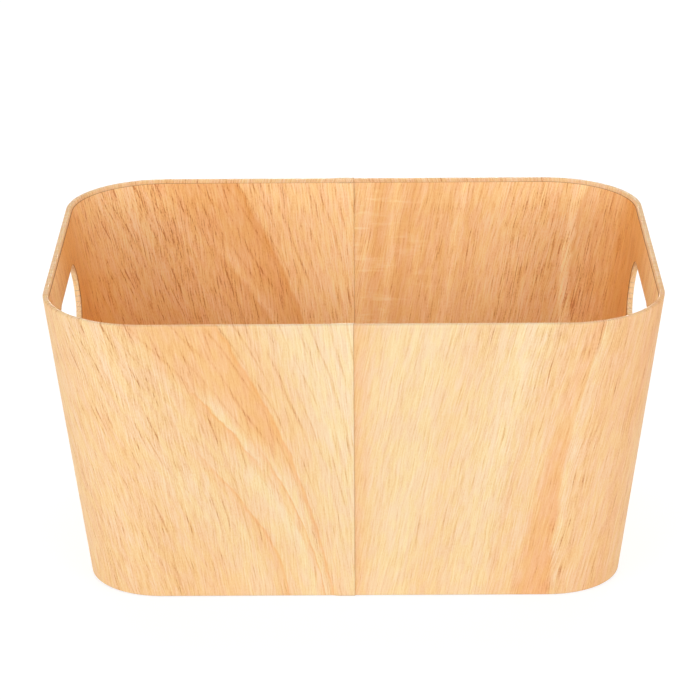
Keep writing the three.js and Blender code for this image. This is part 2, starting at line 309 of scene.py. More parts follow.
@dataclass(frozen=True)
class WallForm:
    """The tapered wall: straight lines from a rounded oblong at the foot to a larger one at the rim.

    Attributes:
        rim_length: Over the outer faces at the rim, along X.
        height: Outer edge of the rim above the ground.
        lean: How far each wall comes in from rim to foot.
        foot_slit: Width of the slits between the paper tabs round the foot's corners.
        vertical_to: Distance from a seam to which the mesh lines stay upright.
    """

    rim_length: float = 310.0
    rim_width: float = 240.0
    height: float = 152.8
    lean: float = 19.6
    rim_radius: float = 52.0
    foot_radius: float = 38.0
    flat_step: float = 3.0
    end_steps: int = 4
    foot_tabs: int = 7
    foot_tab_steps: int = 6
    foot_slit: float = 0.3
    vertical_to: float = 18.0
    stack: SheetStack = SheetStack()
    slot: HandSlot = HandSlot()

    @property
    def slope(self) -> float:
        """Level lean for each unit of height."""
        return self.lean / self.height

    @property
    def tilt(self) -> float:
        """The walls' turn from upright, in radians."""
        return math.atan(self.slope)

    @property
    def slot_level(self) -> float:
        """Height of the slot's middle."""
        return self.height - (self.slot.drop + self.slot.radius) * math.cos(self.tilt)

    def half(self, foot: bool) -> tuple[float, float, float]:
        """Half length, half width and corner radius at the foot or the rim."""
        inset, radius = (self.lean, self.foot_radius) if foot else (0.0, self.rim_radius)
        return self.rim_length / 2.0 - inset, self.rim_width / 2.0 - inset, radius

    def flat(self, foot: bool, walls: Walls) -> float:
        """Half length of the flat part of a long wall or an end wall, at the foot or the rim."""
        return self.half(foot)[walls.value] - self.half(foot)[2]

    def long_columns(self, side: int, end: int, gaps: Array) -> Columns:
        """Lines up one half of a long wall. Near the seam they stand upright, further on they fan out.

        Args:
            side: -1 for the left half, 1 for the right.
            end: -1 for the front wall, 1 for the back.
            gaps: Distances of the lines from the seam at the foot.

        Returns:
            The lines, in the order of the distances.
        """
        foot_flat, rim_flat = self.flat(True, Walls.LONG), self.flat(False, Walls.LONG)
        fan = ease((gaps - self.vertical_to) / (foot_flat - self.vertical_to))
        low = pairs(side * gaps, end * self.half(True)[1])
        high = pairs(side * (gaps + fan * (rim_flat - foot_flat)), end * self.half(False)[1])
        inward = pairs(np.zeros(len(gaps)), -end)
        return Columns(low, high, inward, gaps, np.full(len(gaps), FAR))

    def corner_columns(self, side: int, end: int) -> Columns:
        """Lines round one corner, in pairs where the foot is slit.

        Args:
            side: -1 for the left half, 1 for the right.
            end: -1 for the front, 1 for the back.

        Returns:
            The lines, from the long wall to the end wall.
        """
        half_slit = self.foot_slit / 2.0 / self.foot_radius
        turns = notched_turns(self.foot_tabs, QUARTER, half_slit, self.foot_tab_steps)
        turns[0], turns[-1] = 0.0, QUARTER
        outward = pairs(side * np.sin(turns), end * np.cos(turns))

        def at(foot: bool) -> Array:
            """The corner's arc at the foot or the rim: its centre and a radius outwards."""
            centre = [side * self.flat(foot, Walls.LONG), end * self.flat(foot, Walls.END)]
            return np.array(centre) + self.half(foot)[2] * outward

        far = np.full(len(turns), FAR)
        return Columns(at(True), at(False), -outward, far, far)

    def end_columns(self, side: int) -> Columns:
        """Lines up an end wall between its corners, upright over the patch round the slot.

        Args:
            side: -1 for the left end, 1 for the right.

        Returns:
            The lines, from the front to the back.
        """
        def at(foot: bool) -> Array:
            """Places of the lines along the wall, at the foot or the rim."""
            outer = np.linspace(self.slot.window[0], self.flat(foot, Walls.END), self.end_steps + 1)[1:-1]
            return np.concatenate([-outer[::-1], self.slot.window_alongs(), outer])

        along = at(True)
        foot, rim = pairs(side * self.half(True)[0], along), pairs(side * self.half(False)[0], at(False))
        inward = pairs(-side, np.zeros(len(along)))
        return Columns(foot, rim, inward, np.full(len(along), FAR), along)

    def half_columns(self, side: Side, seam_gaps: Array) -> Columns:
        """All lines of one half of the wall, from the front seam round the end wall to the back seam.

        Args:
            side: Half of the wall.
            seam_gaps: Distances from the seam of the lines near it.

        Returns:
            The lines.
        """
        start, foot_flat = seam_gaps[-1], self.flat(True, Walls.LONG)
        count = int(round((foot_flat - start) / self.flat_step))
        gaps = np.concatenate([seam_gaps, np.linspace(start, foot_flat, count + 1)[1:-1]])
        return Columns.joined(
            self.long_columns(side.value, -1, gaps),
            self.corner_columns(side.value, -1),
            self.end_columns(side.value),
            self.corner_columns(side.value, 1).backwards(),
            self.long_columns(side.value, 1, gaps[::-1]),
        )

    def place(self, columns: Columns, depth: Array, height: Array) -> Array:
        """Points on every line.

        Args:
            columns: The n lines.
            depth: Level depths, n by m.
            height: Heights, n by m.

        Returns:
            The points, n by m by 3.
        """
        rise = (height / self.height)[..., None]
        level = columns.foot[:, None] * (1.0 - rise) + columns.rim[:, None] * rise
        level = level + columns.inward[:, None] * depth[..., None]
        return np.concatenate([level, height[..., None]], axis=2)

    def place_on_end(self, side: Side, along: Array, height: Array, depth: Array) -> Array:
        """Points of an end wall from their place along it, height and level depth."""
        out = self.half(True)[0] + self.slope * height - depth
        return np.stack([side.value * out, along, height], axis=-1)


@dataclass(frozen=True)
class GrainGuides:
    """A family of grain lines on a flat sheet, given by a few guides that rise from its foot.

    Attributes:
        lines: For each guide, its distance from the seam at the four heights.
        heights: Four heights on the sheet.
        named_at: Height at which a line's distance from the seam is its name.
        below: How far below the lowest height the guides still bend.
        above: The same above the highest.
    """

    lines: tuple[tuple[float, ...], ...]
    heights: tuple[float, ...] = (0.0, 50.0, 100.0, 150.0)
    named_at: float = 75.0
    below: float = 25.0
    above: float = 30.0

    def name_of(self, across: Array, up: Array) -> Array:
        """The name of the grain line through each point.

        Each guide is the cubic through its four points. Between two guides a line keeps its share of the
        way from one to the other, so the name is a straight mix of theirs.

        Args:
            across: Distances from the seam on the flat sheet.
            up: Heights on the flat sheet.

        Returns:
            The line's distance from the seam at the naming height, for each point.
        """
        cubic = np.linalg.inv(np.vander(np.array(self.heights), 4)) @ np.array(self.lines).T
        at = np.vander(np.clip(up, self.heights[0] - self.below, self.heights[-1] + self.above), 4) @ cubic
        names = (np.vander([self.named_at], 4) @ cubic)[0]
        place = np.clip(np.sum(at < across[:, None], axis=1) - 1, 0, len(names) - 2)
        rows = np.arange(len(place))
        low, high = at[rows, place], at[rows, place + 1]
        share = (across - low) / np.maximum(high - low, TINY)
        return names[place] + share * (names[place + 1] - names[place])


@dataclass(frozen=True)
class RingBands:
    """Colour bands along the growth rings, and the heights between which they come in.

    Attributes:
        rises: Height where they begin to replace those below, and where only they are left.
        inks: Ring name and ink strength, negative where the print is paler.
    """

    rises: tuple[float, float]
    inks: tuple[tuple[float, float], ...]


@dataclass(frozen=True)
class Print:
    """A length of wood-print paper: two families of grain lines and how strongly they are inked.

    Attributes:
        fibre: The lines that fine fibres and pores follow.
        figure: The lines that growth rings follow.
        bands: Its colour bands, from the foot of the sheet up.
        upright: How far the hair lines turn from the fibre lines to straight up, 0 to 1.
        stroke_share: Share of the places for a stroke that have one.
        flecks: Strength of the pale flecks that lie across the grain near the seam.
        band_tint_and_shade: Tint of a band at full ink. The liners' tint is darker, painted shade of the
            inside walls.
    """

    name: str
    fibre: GrainGuides
    figure: GrainGuides
    bands: tuple[RingBands, ...]
    upright: float = 0.0
    contrast: float = 1.0
    strokes: float = 0.22
    stroke_share: float = 0.0
    rings: float = 0.12
    flecks: float = 0.0
    seed: float = 0.0
    tint: Colour = (1.0, 1.0, 1.0)
    band_tint_and_shade: Colour = (0.97, 0.74, 0.53)


CATHEDRAL = Print(
    name="wood_print_cathedral",
    fibre=GrainGuides((
        (-60, -52, -44, -36), (0, 5, 13, 24), (30, 39, 50, 63), (60, 72, 89, 110), (92, 110, 135, 165),
        (116, 138, 167, 201), (200, 224, 253, 285), (330, 350, 371, 393), (470, 478, 488, 500),
        (600, 602, 606, 612),
    )),
    figure=GrainGuides((
        (-90, -86, -80, -72), (-18, -15.5, -11, -4), (0, 6, 18, 36), (12, 24, 42, 69),
        (16.5, 31.5, 64, 106), (33, 52, 92, 136), (60, 92, 130, 168), (130, 156, 186, 218),
        (250, 262, 280, 304), (340, 352, 376, 412), (400, 430, 462, 496), (600, 610, 620, 630),
    )),
    bands=(
        RingBands((0, 1), (
            (0, -0.3), (10, -0.25), (18, -0.15), (22, 0), (28.8, 0), (29.4, 0.8), (31, 0.35),
            (33, -0.05), (38.5, -0.15), (40.4, -0.35), (41, 0.75), (42, 0.3), (45, 0.15), (48, 0),
            (50, -0.4), (55, -0.3), (60, 0), (69.6, 0.1), (70.4, 0.8), (72, 0.4), (82, -0.05), (95, 0),
            (106, 0.3), (120, 0.3),
        )),
        RingBands((62, 98), (
            (0, -0.3), (8, -0.25), (15, 0), (20, 0.25), (28.8, 0.3), (29.4, 1.1), (30.6, 0.85),
            (36, 0.75), (41, 0.5), (43, 0.2), (44, -0.1), (45.8, -0.2), (46.3, 1), (47.5, 0.6),
            (51, 0.5), (60, 0.2), (78, 0.15), (95, 0.25), (108, 0.45), (120, 0.35),
        )),
        RingBands((106, 124), (
            (0, -0.3), (8, -0.25), (15, 0), (20, 0.3), (28.8, 0.35), (29.4, 1.1), (30.6, 0.85),
            (40, 0.7), (47, 0.6), (52, 0.2), (64, 0.15), (78, 0.15), (95, 0.3), (108, 0.45),
            (120, 0.35),
        )),
    ),
    upright=0.55,
    strokes=0.3,
    stroke_share=0.35,
    rings=0.36,
    seed=3.0,
)

RIGHT_OUTSIDE = Print(
    name="wood_print_straight",
    fibre=GrainGuides((
        (-60, -50, -40, -30), (0, 8, 16.5, 26), (34, 43, 53, 64), (70, 79, 89, 100),
        (104, 115, 127, 140), (150, 166, 181, 196), (300, 310, 321, 333), (470, 474, 480, 488),
        (600, 602, 604, 608),
    )),
    figure=GrainGuides((
        (-60, -56, -52, -48), (0, 1, 2, 4), (33, 41, 50, 62), (77, 86, 97, 112), (96, 100, 108, 122),
        (106, 110, 117, 130), (150, 166, 184, 204), (310, 322, 338, 356), (480, 486, 494, 506),
        (600, 602, 604, 608),
    )),
    bands=(
        RingBands((0, 1), (
            (-1, 0.65), (2, 0.45), (7, 0.15), (12, -0.1), (30, -0.3), (40, 0), (44, 0.15), (49, 0),
            (70, -0.2), (77, -0.05), (80, 0.25), (88, 0.2), (91, 0.3), (95.5, 0.9), (103.5, 1),
            (104.8, 0.3), (107, 0.15), (110, 0.4), (124, 0.55), (140, 0.7), (160, 0.5), (260, 0.3),
        )),
        RingBands((78, 108), (
            (-1, 0.6), (2, 0.35), (7, 0.05), (12, -0.1), (30, -0.2), (40, 0), (44, 0.15), (49, 0),
            (70, -0.2), (77, 0), (82, 0.3), (92, 0.45), (98, 0.7), (103, 0.7), (105, 0.15), (108, 0.3),
            (112, 0.6), (124, 0.7), (140, 0.95), (160, 0.6), (260, 0.3),
        )),
    ),
    contrast=0.95,
    stroke_share=0.05,
    seed=11.0,
    band_tint_and_shade=(0.97, 0.75, 0.6),
)

RIGHT_INSIDE = Print(
    name="wood_print_flecked",
    fibre=GrainGuides((
        (-60, -52, -44, -36), (0, 7, 15, 24), (40, 49, 58, 68), (90, 101, 112, 124),
        (140, 154, 169, 185), (300, 312, 325, 339), (600, 604, 610, 618),
    )),
    figure=GrainGuides((
        (-60, -54, -48, -42), (0, 4, 8, 12), (30, 36, 43, 51), (84, 94, 102, 111),
        (122, 120, 117.5, 127), (133, 132, 133, 143), (158, 170, 184, 204), (310, 322, 338, 356),
        (600, 602, 604, 608),
    )),
    # Past ring 142 the inks rise further: dark print lines with painted shade of the inner corner laid over
    # them.
    bands=(
        RingBands((0, 1), (
            (0, 0), (3, -0.2), (8, 0.5), (13, 0.4), (16, -0.25), (19, 0.3), (24, 0.6), (29, 0.1),
            (34, 0.4), (39, 0), (44, 0.3), (49, -0.3), (54, 0.2), (68, 0), (84, -0.1), (98, 0.1),
            (108, 0.35), (113, 0.2), (115, -0.5), (119.5, -0.2), (121, 1), (123, 0.5), (129, 0.5),
            (131, 0.95), (134, 0.5), (137, 1), (142, 0.7), (146, 1.15), (152, 1.3), (200, 1.4),
            (270, 0.3), (420, 0.2),
        )),
    ),
    contrast=1.45,
    stroke_share=0.08,
    flecks=0.42,
    seed=19.0,
    tint=(1.10, 1.01, 0.88),
    # Darker than outside: painted shade of the inside walls.
    band_tint_and_shade=(0.89, 0.71, 0.52),
)

LEFT_INSIDE = replace(
    CATHEDRAL,
    name="wood_print_cathedral_liner",
    # The inks rise from ring 88 towards the inner end and its corners: print bands with painted shade of
    # the far corner laid over them.
    bands=(
        RingBands((0, 1), (
            (0, -0.25), (8, -0.2), (16, -0.1), (24, 0.05), (28.8, 0.1), (29.4, 1.1), (31.5, 0.78),
            (36, 0.7), (41, 0.6), (43, 0.4), (44, 0.05), (45.8, -0.05), (46.3, 0.9), (51, 0.45),
            (70, 0.3), (88, 0.35), (98, 0.6), (112, 0.75), (135, 1.15), (165, 1.4), (200, 1.4),
            (270, 0.3), (420, 0.2),
        )),
        RingBands((108, 126), (
            (0, -0.25), (8, -0.2), (16, -0.1), (24, 0.1), (28.8, 0.1), (29.4, 1.1), (33, 0.8),
            (40, 0.7), (47, 0.55), (52, 0.25), (70, 0.2), (88, 0.3), (98, 0.5), (112, 0.65), (135, 1),
            (165, 1.3), (200, 1.4), (270, 0.3), (420, 0.2),
        )),
    ),
    contrast=1.65,
    strokes=0.25,
    rings=0.2,
    tint=(1.10, 1.01, 0.88),
    # Darker than outside: painted shade of the inside walls.
    band_tint_and_shade=(0.89, 0.71, 0.52),
)


class Surface:
    """Points, their places on the flat sheet and four-sided faces, gathered for one sheet."""

    crease = math.radians(40.0)  # edges that turn further stay sharp

    def __init__(self) -> None:
        """Starts with nothing."""
        self.points: list[Array] = []
        self.sheet: list[Array] = []
        self.faces: list[Array] = []
        self.count = 0

    def add_points(self, points: Array, flat: Array, trim: Array) -> Array:
        """Adds a grid of points.

        Args:
            points: Places, n by m by 3.
            flat: Places on the flat sheet, n by m by 2.
            trim: Distance to the nearest cut edge that shows, n by m.

        Returns:
            The points' numbers, n by m.
        """
        self.points.append(points.reshape(-1, 3))
        self.sheet.append(np.column_stack([flat.reshape(-1, 2), trim.ravel()]))
        numbers = self.count + np.arange(trim.size).reshape(trim.shape)
        self.count += trim.size
        return numbers

    def add_faces(self, numbers: Array, keep: Array | None = None) -> None:
        """Adds the faces between neighbours of a grid of point numbers: all, or where keep says so."""
        corners = (numbers[:-1, :-1], numbers[1:, :-1], numbers[1:, 1:], numbers[:-1, 1:])
        faces = np.stack(corners, axis=-1)
        self.faces.append(faces.reshape(-1, 4) if keep is None else faces[keep])

    def build(self, name: str, sheet: Print, facing: int, thickness: float) -> bpy.types.Object:
        """Makes the sheet: drops unused points and gives it its thickness behind the printed face.

        Args:
            name: The piece's name.
            sheet: The print that lies on the sheet.
            facing: 1 where the faces as gathered look out of the printed side, -1 where they look away.
            thickness: Of the paper.

        Returns:
            The finished object, with its thickness applied and its folds smooth.
        """
        used, faces = np.unique(np.concatenate(self.faces), return_inverse=True)
        places = np.concatenate(self.sheet)[used]
        mesh = bpy.data.meshes.new(name)
        mesh.from_pydata(np.concatenate(self.points)[used] * MM, [], faces.reshape(-1, 4)[:, ::facing])
        names = (family.name_of(places[:, 0], places[:, 1]) for family in (sheet.fibre, sheet.figure))
        grain = np.insert(np.column_stack(list(names)), 1, places[:, 1], axis=1)
        for title, values in (("grain", grain), ("sheet", places)):
            layer = mesh.attributes.new(title, "FLOAT_VECTOR", "POINT")
            layer.data.foreach_set("vector", values.astype(np.float32).ravel())
        piece = bpy.data.objects.new(name, mesh)
        bpy.context.scene.collection.objects.link(piece)
        paper = piece.modifiers.new("paper", "SOLIDIFY")
        paper.thickness = thickness * MM
        paper.offset = -1.0
        paper.use_even_offset = True
        solid = bpy.data.meshes.new_from_object(piece.evaluated_get(bpy.context.evaluated_depsgraph_get()))
        piece.modifiers.clear()
        piece.data = solid
        solid.polygons.foreach_set("use_smooth", np.ones(len(solid.polygons), bool))
        solid.set_sharp_from_angle(angle=self.crease)
        return piece


@dataclass(frozen=True)
class Spots:
    """A smooth noise drawn out along the grain, as a swing to both sides or as a mask.

    Attributes:
        wide: Size of its spots across the grain.
        long: Size of its spots along the grain.
        seed: What is added to the print's own seed.
        strength: How far it moves what it acts on, from end to end.
        mask: Noise values between which it comes in as a mask.
    """

    wide: float
    long: float
    seed: float
    strength: float = 1.0
    detail: float = 1.0
    rough: float = 0.5
    mask: tuple[float, float] = (0.0, 1.0)


@dataclass(frozen=True)
class Needles:
    """Slim needles along the grain, each round the point of one cell.

    Attributes:
        seed_step: How many cells further a whole seed starts.
        reach: Shortest and longest half needle, in cells.
        solid: Share of its reach in which a needle has its full strength.
        soft: Range of chance in which the needles grow weaker, past the share that have full strength.
    """

    wide: float = 2.4
    long: float = 52.0
    seed_step: float = 7.0
    reach: tuple[float, float] = (0.12, 0.28)
    solid: float = 0.3
    soft: float = 0.3


class Weave:
    """Writes a material's nodes. Each method adds nodes and returns the socket with their result."""

    def __init__(self, name: str) -> None:
        """Starts a material with nothing in it."""
        self.material = bpy.data.materials.new(name)
        self.material.use_nodes = True
        self.tree = self.material.node_tree
        self.tree.nodes.clear()

    def node(self, kind: str, sets: dict[str, object] | None = None, **settings: object) -> bpy.types.Node:
        """Adds a node.

        Args:
            kind: Type of the node.
            sets: Values or sockets for its inputs, by name.
            **settings: Its settings.

        Returns:
            The node.
        """
        made = self.tree.nodes.new(kind)
        for name, value in settings.items():
            setattr(made, name, value)
        for name, value in (sets or {}).items():
            self.put(made.inputs[name], value)
        return made

    def put(self, socket: Socket, value: object) -> None:
        """Joins a socket to another, or sets it to a value. A colour gets its fourth number."""
        if isinstance(value, bpy.types.NodeSocket):
            self.tree.links.new(value, socket)
        else:
            socket.default_value = (*value, 1.0) if isinstance(value, tuple) else value

    def fill(self, kind: str, *values: object, **settings: object) -> Socket:
        """Adds a node, fills its inputs in order and returns its first output."""
        made = self.node(kind, **settings)
        for socket, value in zip(made.inputs, values):
            self.put(socket, value)
        return made.outputs[0]

    def math(self, operation: str, *values: object, clamp: bool = False) -> Socket:
        """One step of arithmetic."""
        return self.fill("ShaderNodeMath", *values, operation=operation, use_clamp=clamp)

    def add(self, value: Socket, factor: object, start: object, clamp: bool = False) -> Socket:
        """A value times a factor, added to a start."""
        return self.math("MULTIPLY_ADD", value, factor, start, clamp=clamp)

    def parts(self, vector: Socket) -> tuple[Socket, Socket, Socket]:
        """The three numbers of a vector or colour."""
        return tuple(self.fill("ShaderNodeSeparateXYZ", vector).node.outputs)

    def attribute(self, name: str) -> tuple[Socket, Socket, Socket]:
        """The three numbers of a mesh attribute."""
        made = self.node("ShaderNodeAttribute", attribute_name=name, attribute_type="GEOMETRY")
        return self.parts(made.outputs["Vector"])

    def noise(self, at: Socket, detail: float, rough: float, scale: float = 1.0) -> Socket:
        """Smooth noise at a point, around one half."""
        sets = {"Vector": at, "Scale": scale, "Detail": detail, "Roughness": rough}
        return self.node("ShaderNodeTexNoise", sets, noise_dimensions="3D").outputs[0]

    def spots(self, kind: Spots, x: Socket, y: Socket, seed: float) -> Socket:
        """The noise of some spots at a place on the sheet."""
        across, along = self.math("DIVIDE", x, kind.wide), self.math("DIVIDE", y, kind.long)
        at = self.fill("ShaderNodeCombineXYZ", across, along, seed + kind.seed)
        return self.noise(at, kind.detail, kind.rough)

    def needles(self, kind: Needles, x: Socket, y: Socket, seed: float, share: float) -> Socket:
        """Needles in a share of the cells.

        Args:
            kind: Their form.
            x: Place across the grain.
            y: Place along the grain.
            seed: Start of the pattern.
            share: Share of the cells whose needle has full strength.

        Returns:
            Their strength, 0 to 1.
        """
        across = self.add(x, 1.0 / kind.wide, kind.seed_step * seed)
        at = self.fill("ShaderNodeCombineXYZ", across, self.math("DIVIDE", y, kind.long), 0.0)
        cells = self.node("ShaderNodeTexVoronoi", {"Vector": at, "Scale": 1.0}, voronoi_dimensions="2D")
        chance = self.parts(cells.outputs["Color"])
        reach = self.span(chance[1], 0.0, 1.0, *kind.reach)
        slim = self.span(self.math("DIVIDE", cells.outputs["Distance"], reach), kind.solid, 1.0, 1.0, 0.0)
        return self.math("MULTIPLY", slim, self.span(chance[0], share, share + kind.soft, 1.0, 0.0))

    def swing(self, middle: object, noise: Socket, strength: float) -> Socket:
        """A middle value swung to both sides by a noise around one half."""
        return self.add(self.math("SUBTRACT", noise, 0.5), strength, middle)

    def span(
        self, value: Socket, low: float, high: float, start: object = 0.0, stop: object = 1.0
    ) -> Socket:
        """Carries low..high smoothly over to start..stop, held at the ends."""
        values = (value, low, high, start, stop)
        return self.fill("ShaderNodeMapRange", *values, interpolation_type="SMOOTHSTEP")

    def ramp(self, value: Socket, stops: tuple[tuple[float, Colour], ...]) -> Socket:
        """A colour ramp.

        Args:
            value: Place on the ramp.
            stops: Its stops, each a place and a colour.

        Returns:
            The colour.
        """
        made = self.node("ShaderNodeValToRGB", {"Fac": value})
        marks = made.color_ramp.elements
        while len(marks) < len(stops):
            marks.new(0.5)
        for mark, (place, _) in zip(marks, stops):
            mark.position = place
        for mark, (_, colour) in zip(marks, stops):
            mark.color = (*colour, 1.0)
        return made.outputs[0]

    def blend(self, share: object, below: object, above: object, kind: str = "MIX") -> Socket:
        """Two colours mixed by a share."""
        made = self.node("ShaderNodeMix", data_type="RGBA", blend_type=kind, clamp_factor=True)
        for name, value in (("Factor", share), ("A", below), ("B", above)):
            self.put(next(each for each in made.inputs if each.name == name and each.enabled), value)
        return next(each for each in made.outputs if each.enabled)

    def tinted(self, colour: Socket, tint: object) -> Socket:
        """A colour multiplied by a tint."""
        return self.blend(1.0, colour, tint, kind="MULTIPLY")

    def finish(
        self, colour: Socket, roughness: object, height: Socket, relief: float, specular: float
    ) -> None:
        """Ends the material in a surface.

        Args:
            colour: Its colour.
            roughness: Its roughness.
            height: Its fine relief, 0 to 1.
            relief: Depth of the relief in millimetres.
            specular: Its specular level.
        """
        bump = self.node("ShaderNodeBump", {"Strength": 1.0, "Distance": relief * MM, "Height": height})
        skin = self.node("ShaderNodeBsdfPrincipled", {
            "Base Color": colour, "Roughness": roughness, "Specular IOR Level": specular,
            "Normal": bump.outputs[0],
        })
        self.node("ShaderNodeOutputMaterial", {"Surface": skin.outputs[0]})


@dataclass(frozen=True)
class WoodPrintPaper:
    """Satin paper printed with pale oak. Its cut edges are darker: partly the paper's brown core, partly
    painted shade of the shadow line along them.

    Each field of spots is one layer of the print, from broad clouds to fine hair lines.

    Attributes:
        ink: Colours from the darkest to the palest tone.
        edge_shade_width: Distances from a cut edge between which its darker colour, the paper's core with
            painted shade, fades out.
        edge_shade_share: Strength of that colour near the seams and far from them; the rise far from them
            is painted shade, darker in the inner corners.
        edge_shade_fade: Distances from the seam between which it goes from one to the other.
        pivot: Tone that contrast leaves as it is.
        contrast_share: Share of the sheet's contrast near the seams and far from them.
        contrast_fade: Distances from the seam between which it goes from one to the other.
        ring_pitch: Distance from one growth line to the next.
        ring_edge: Shares of the pitch between which a growth line comes in.
        ring_fade: Shares of the pitch between which it goes out.
        ring_near: Ring names between which the growth lines weaken.
        ring_far: What is left of them past these.
        fleck_fade: Distances from the seam between which the pale flecks go out.
        gloss: How far the hair lines swing the roughness.
    """

    ink: tuple[tuple[float, Colour], ...] = (
        (0.0, (0.58, 0.275, 0.105)),
        (0.2, (0.755, 0.452, 0.208)),
        (0.38, (0.828, 0.547, 0.278)),
        (0.55, (0.862, 0.614, 0.333)),
        (0.78, (0.880, 0.672, 0.398)),
        (1.0, (0.895, 0.730, 0.470)),
    )
    yellowish: Colour = (1.0, 0.998, 0.945)
    pinkish: Colour = (1.0, 0.978, 1.06)
    # Colour of the darker cut edges: the paper's brown core, with painted shade of the shadow line along
    # the edge mixed in.
    core: Colour = (0.34, 0.12, 0.03)
    edge_shade_width: tuple[float, float] = (0.05, 0.3)
    edge_shade_share: tuple[float, float] = (0.58, 0.95)
    edge_shade_fade: tuple[float, float] = (70.0, 110.0)
    start: float = 0.565
    pivot: float = 0.56
    contrast_share: tuple[float, float] = (0.8, 1.35)
    contrast_fade: tuple[float, float] = (20.0, 140.0)
    bend: Spots = Spots(16.0, 55.0, 5.0, 5.0, detail=2.0)
    clouds: Spots = Spots(15.0, 130.0, 1.0, 0.42)
    streaks: Spots = Spots(1.5, 60.0, 10.0, 0.24)
    hair: Spots = Spots(0.58, 9.0, 3.0, 0.85, rough=0.8)
    threads: Spots = Spots(0.6, 26.0, 7.0, 0.6, detail=0.0)
    mottle: Spots = Spots(0.7, 1.2, 4.0, 0.42)
    ticks: Spots = Spots(0.7, 12.0, 6.0, -0.1, detail=0.0, mask=(0.58, 0.70))
    scratches: Spots = Spots(0.7, 20.0, 8.0, 0.12, detail=0.0, mask=(0.56, 0.70))
    wander: Spots = Spots(9.0, 60.0, 16.0, 7.0)
    ring_pitch: float = 4.6
    ring_edge: tuple[float, float] = (0.88, 1.0)
    ring_fade: tuple[float, float] = (0.0, 0.2)
    ring_gap: Spots = Spots(1.6, 40.0, 17.0, detail=2.0, mask=(0.36, 0.6))
    ring_near: tuple[float, float] = (22.0, 60.0)
    ring_far: float = 0.25
    strokes: Needles = Needles()
    flecks: Spots = Spots(22.0, 4.0, 18.0, detail=2.0, mask=(0.54, 0.74))
    fleck_fade: tuple[float, float] = (8.0, 60.0)
    hue: Spots = Spots(4.5, 15.0, 14.0, detail=2.0, mask=(0.38, 0.62))
    ragged: Spots = Spots(9.0, 11.0, 9.0, 4.0, detail=2.0)
    frayed: Spots = Spots(1.6, 20.0, 15.0, 1.6)
    roughness: float = 0.52
    gloss: float = 0.16
    relief: float = 0.003
    specular: float = 0.35

    def material(self, sheet: Print) -> bpy.types.Material:
        """Writes the print: streaks, hair lines, strokes, flecks and ring bands on the sheet's grain.

        Args:
            sheet: The print.

        Returns:
            Its material.
        """
        w = Weave(sheet.name)
        across, along, ring = w.attribute("grain")
        flat_u, flat_v, trim = w.attribute("sheet")

        def mask(spots: Spots, x: Socket, y: Socket = along) -> Socket:
            """Some spots as a mask, 0 to 1."""
            return w.span(w.spots(spots, x, y, sheet.seed), *spots.mask)

        def swing(middle: object, spots: Spots, x: Socket, y: Socket = along) -> Socket:
            """A value swung by some spots."""
            return w.swing(middle, w.spots(spots, x, y, sheet.seed), spots.strength)

        wavy = swing(across, self.bend, across)
        straight = w.add(w.math("SUBTRACT", flat_u, across), sheet.upright, wavy)
        hair = w.spots(self.hair, straight, along, sheet.seed)
        tone = swing(self.start, self.clouds, wavy)
        tone = swing(tone, self.streaks, wavy)
        tone = w.swing(tone, hair, self.hair.strength)
        tone = swing(tone, self.threads, straight)
        tone = swing(tone, self.mottle, flat_u, flat_v)
        tone = w.add(mask(self.ticks, wavy), self.ticks.strength, tone)
        tone = w.add(mask(self.scratches, straight), self.scratches.strength, tone)
        turn = w.math("FRACT", w.math("DIVIDE", swing(ring, self.wander, ring), self.ring_pitch))
        growth = w.math("SUBTRACT", w.span(turn, *self.ring_edge), w.span(turn, *self.ring_fade, -1.0, 0.0))
        near = w.span(ring, *self.ring_near, -sheet.rings, -self.ring_far * sheet.rings)
        tone = w.add(w.math("MULTIPLY", growth, mask(self.ring_gap, ring)), near, tone)
        dark = w.needles(self.strokes, wavy, along, sheet.seed, sheet.stroke_share)
        tone = w.add(dark, -sheet.strokes, tone)
        if sheet.flecks:
            close = w.span(flat_u, *self.fleck_fade, sheet.flecks, 0.0)
            tone = w.add(mask(self.flecks, flat_u, flat_v), close, tone)
        contrasts = (share * sheet.contrast for share in self.contrast_share)
        contrast = w.span(flat_u, *self.contrast_fade, *contrasts)
        tone = w.add(w.math("SUBTRACT", tone, self.pivot), contrast, self.pivot, clamp=True)
        hue = w.blend(mask(self.hue, wavy), self.yellowish, self.pinkish)
        colour = w.tinted(w.ramp(tone, self.ink), hue)
        edge = swing(swing(ring, self.ragged, ring), self.frayed, wavy)
        bands = self.banding(w, sheet.bands[0], sheet.band_tint_and_shade, edge)
        for higher in sheet.bands[1:]:
            above = self.banding(w, higher, sheet.band_tint_and_shade, edge)
            bands = w.blend(w.span(along, *higher.rises), bands, above)
        colour = w.tinted(w.tinted(colour, bands), sheet.tint)
        # Darker cut edges: partly the paper's brown core, partly painted shade of the shadow line along
        # each edge, painted stronger far from the seams, in the inner corners.
        cut = w.span(flat_u, *self.edge_shade_fade, *self.edge_shade_share)
        colour = w.blend(w.span(trim, *self.edge_shade_width, cut, 0.0), colour, self.core)
        w.finish(colour, w.swing(self.roughness, hair, self.gloss), hair, self.relief, self.specular)
        return w.material

    def banding(self, w: Weave, bands: RingBands, tint: Colour, ring: Socket) -> Socket:
        """The tint of the ring bands.

        Args:
            w: The material's nodes.
            bands: The bands.
            tint: Tint at full ink. Below nought the print becomes paler.
            ring: Ring name.

        Returns:
            The tint at that ring.
        """
        low, high = bands.inks[0][0], bands.inks[-1][0]
        share = w.math("DIVIDE", w.math("SUBTRACT", ring, low), high - low)
        return w.ramp(share, tuple(
            ((place - low) / (high - low), tuple(1.0 - ink * (1.0 - part) for part in tint))
            for place, ink in bands.inks
        ))


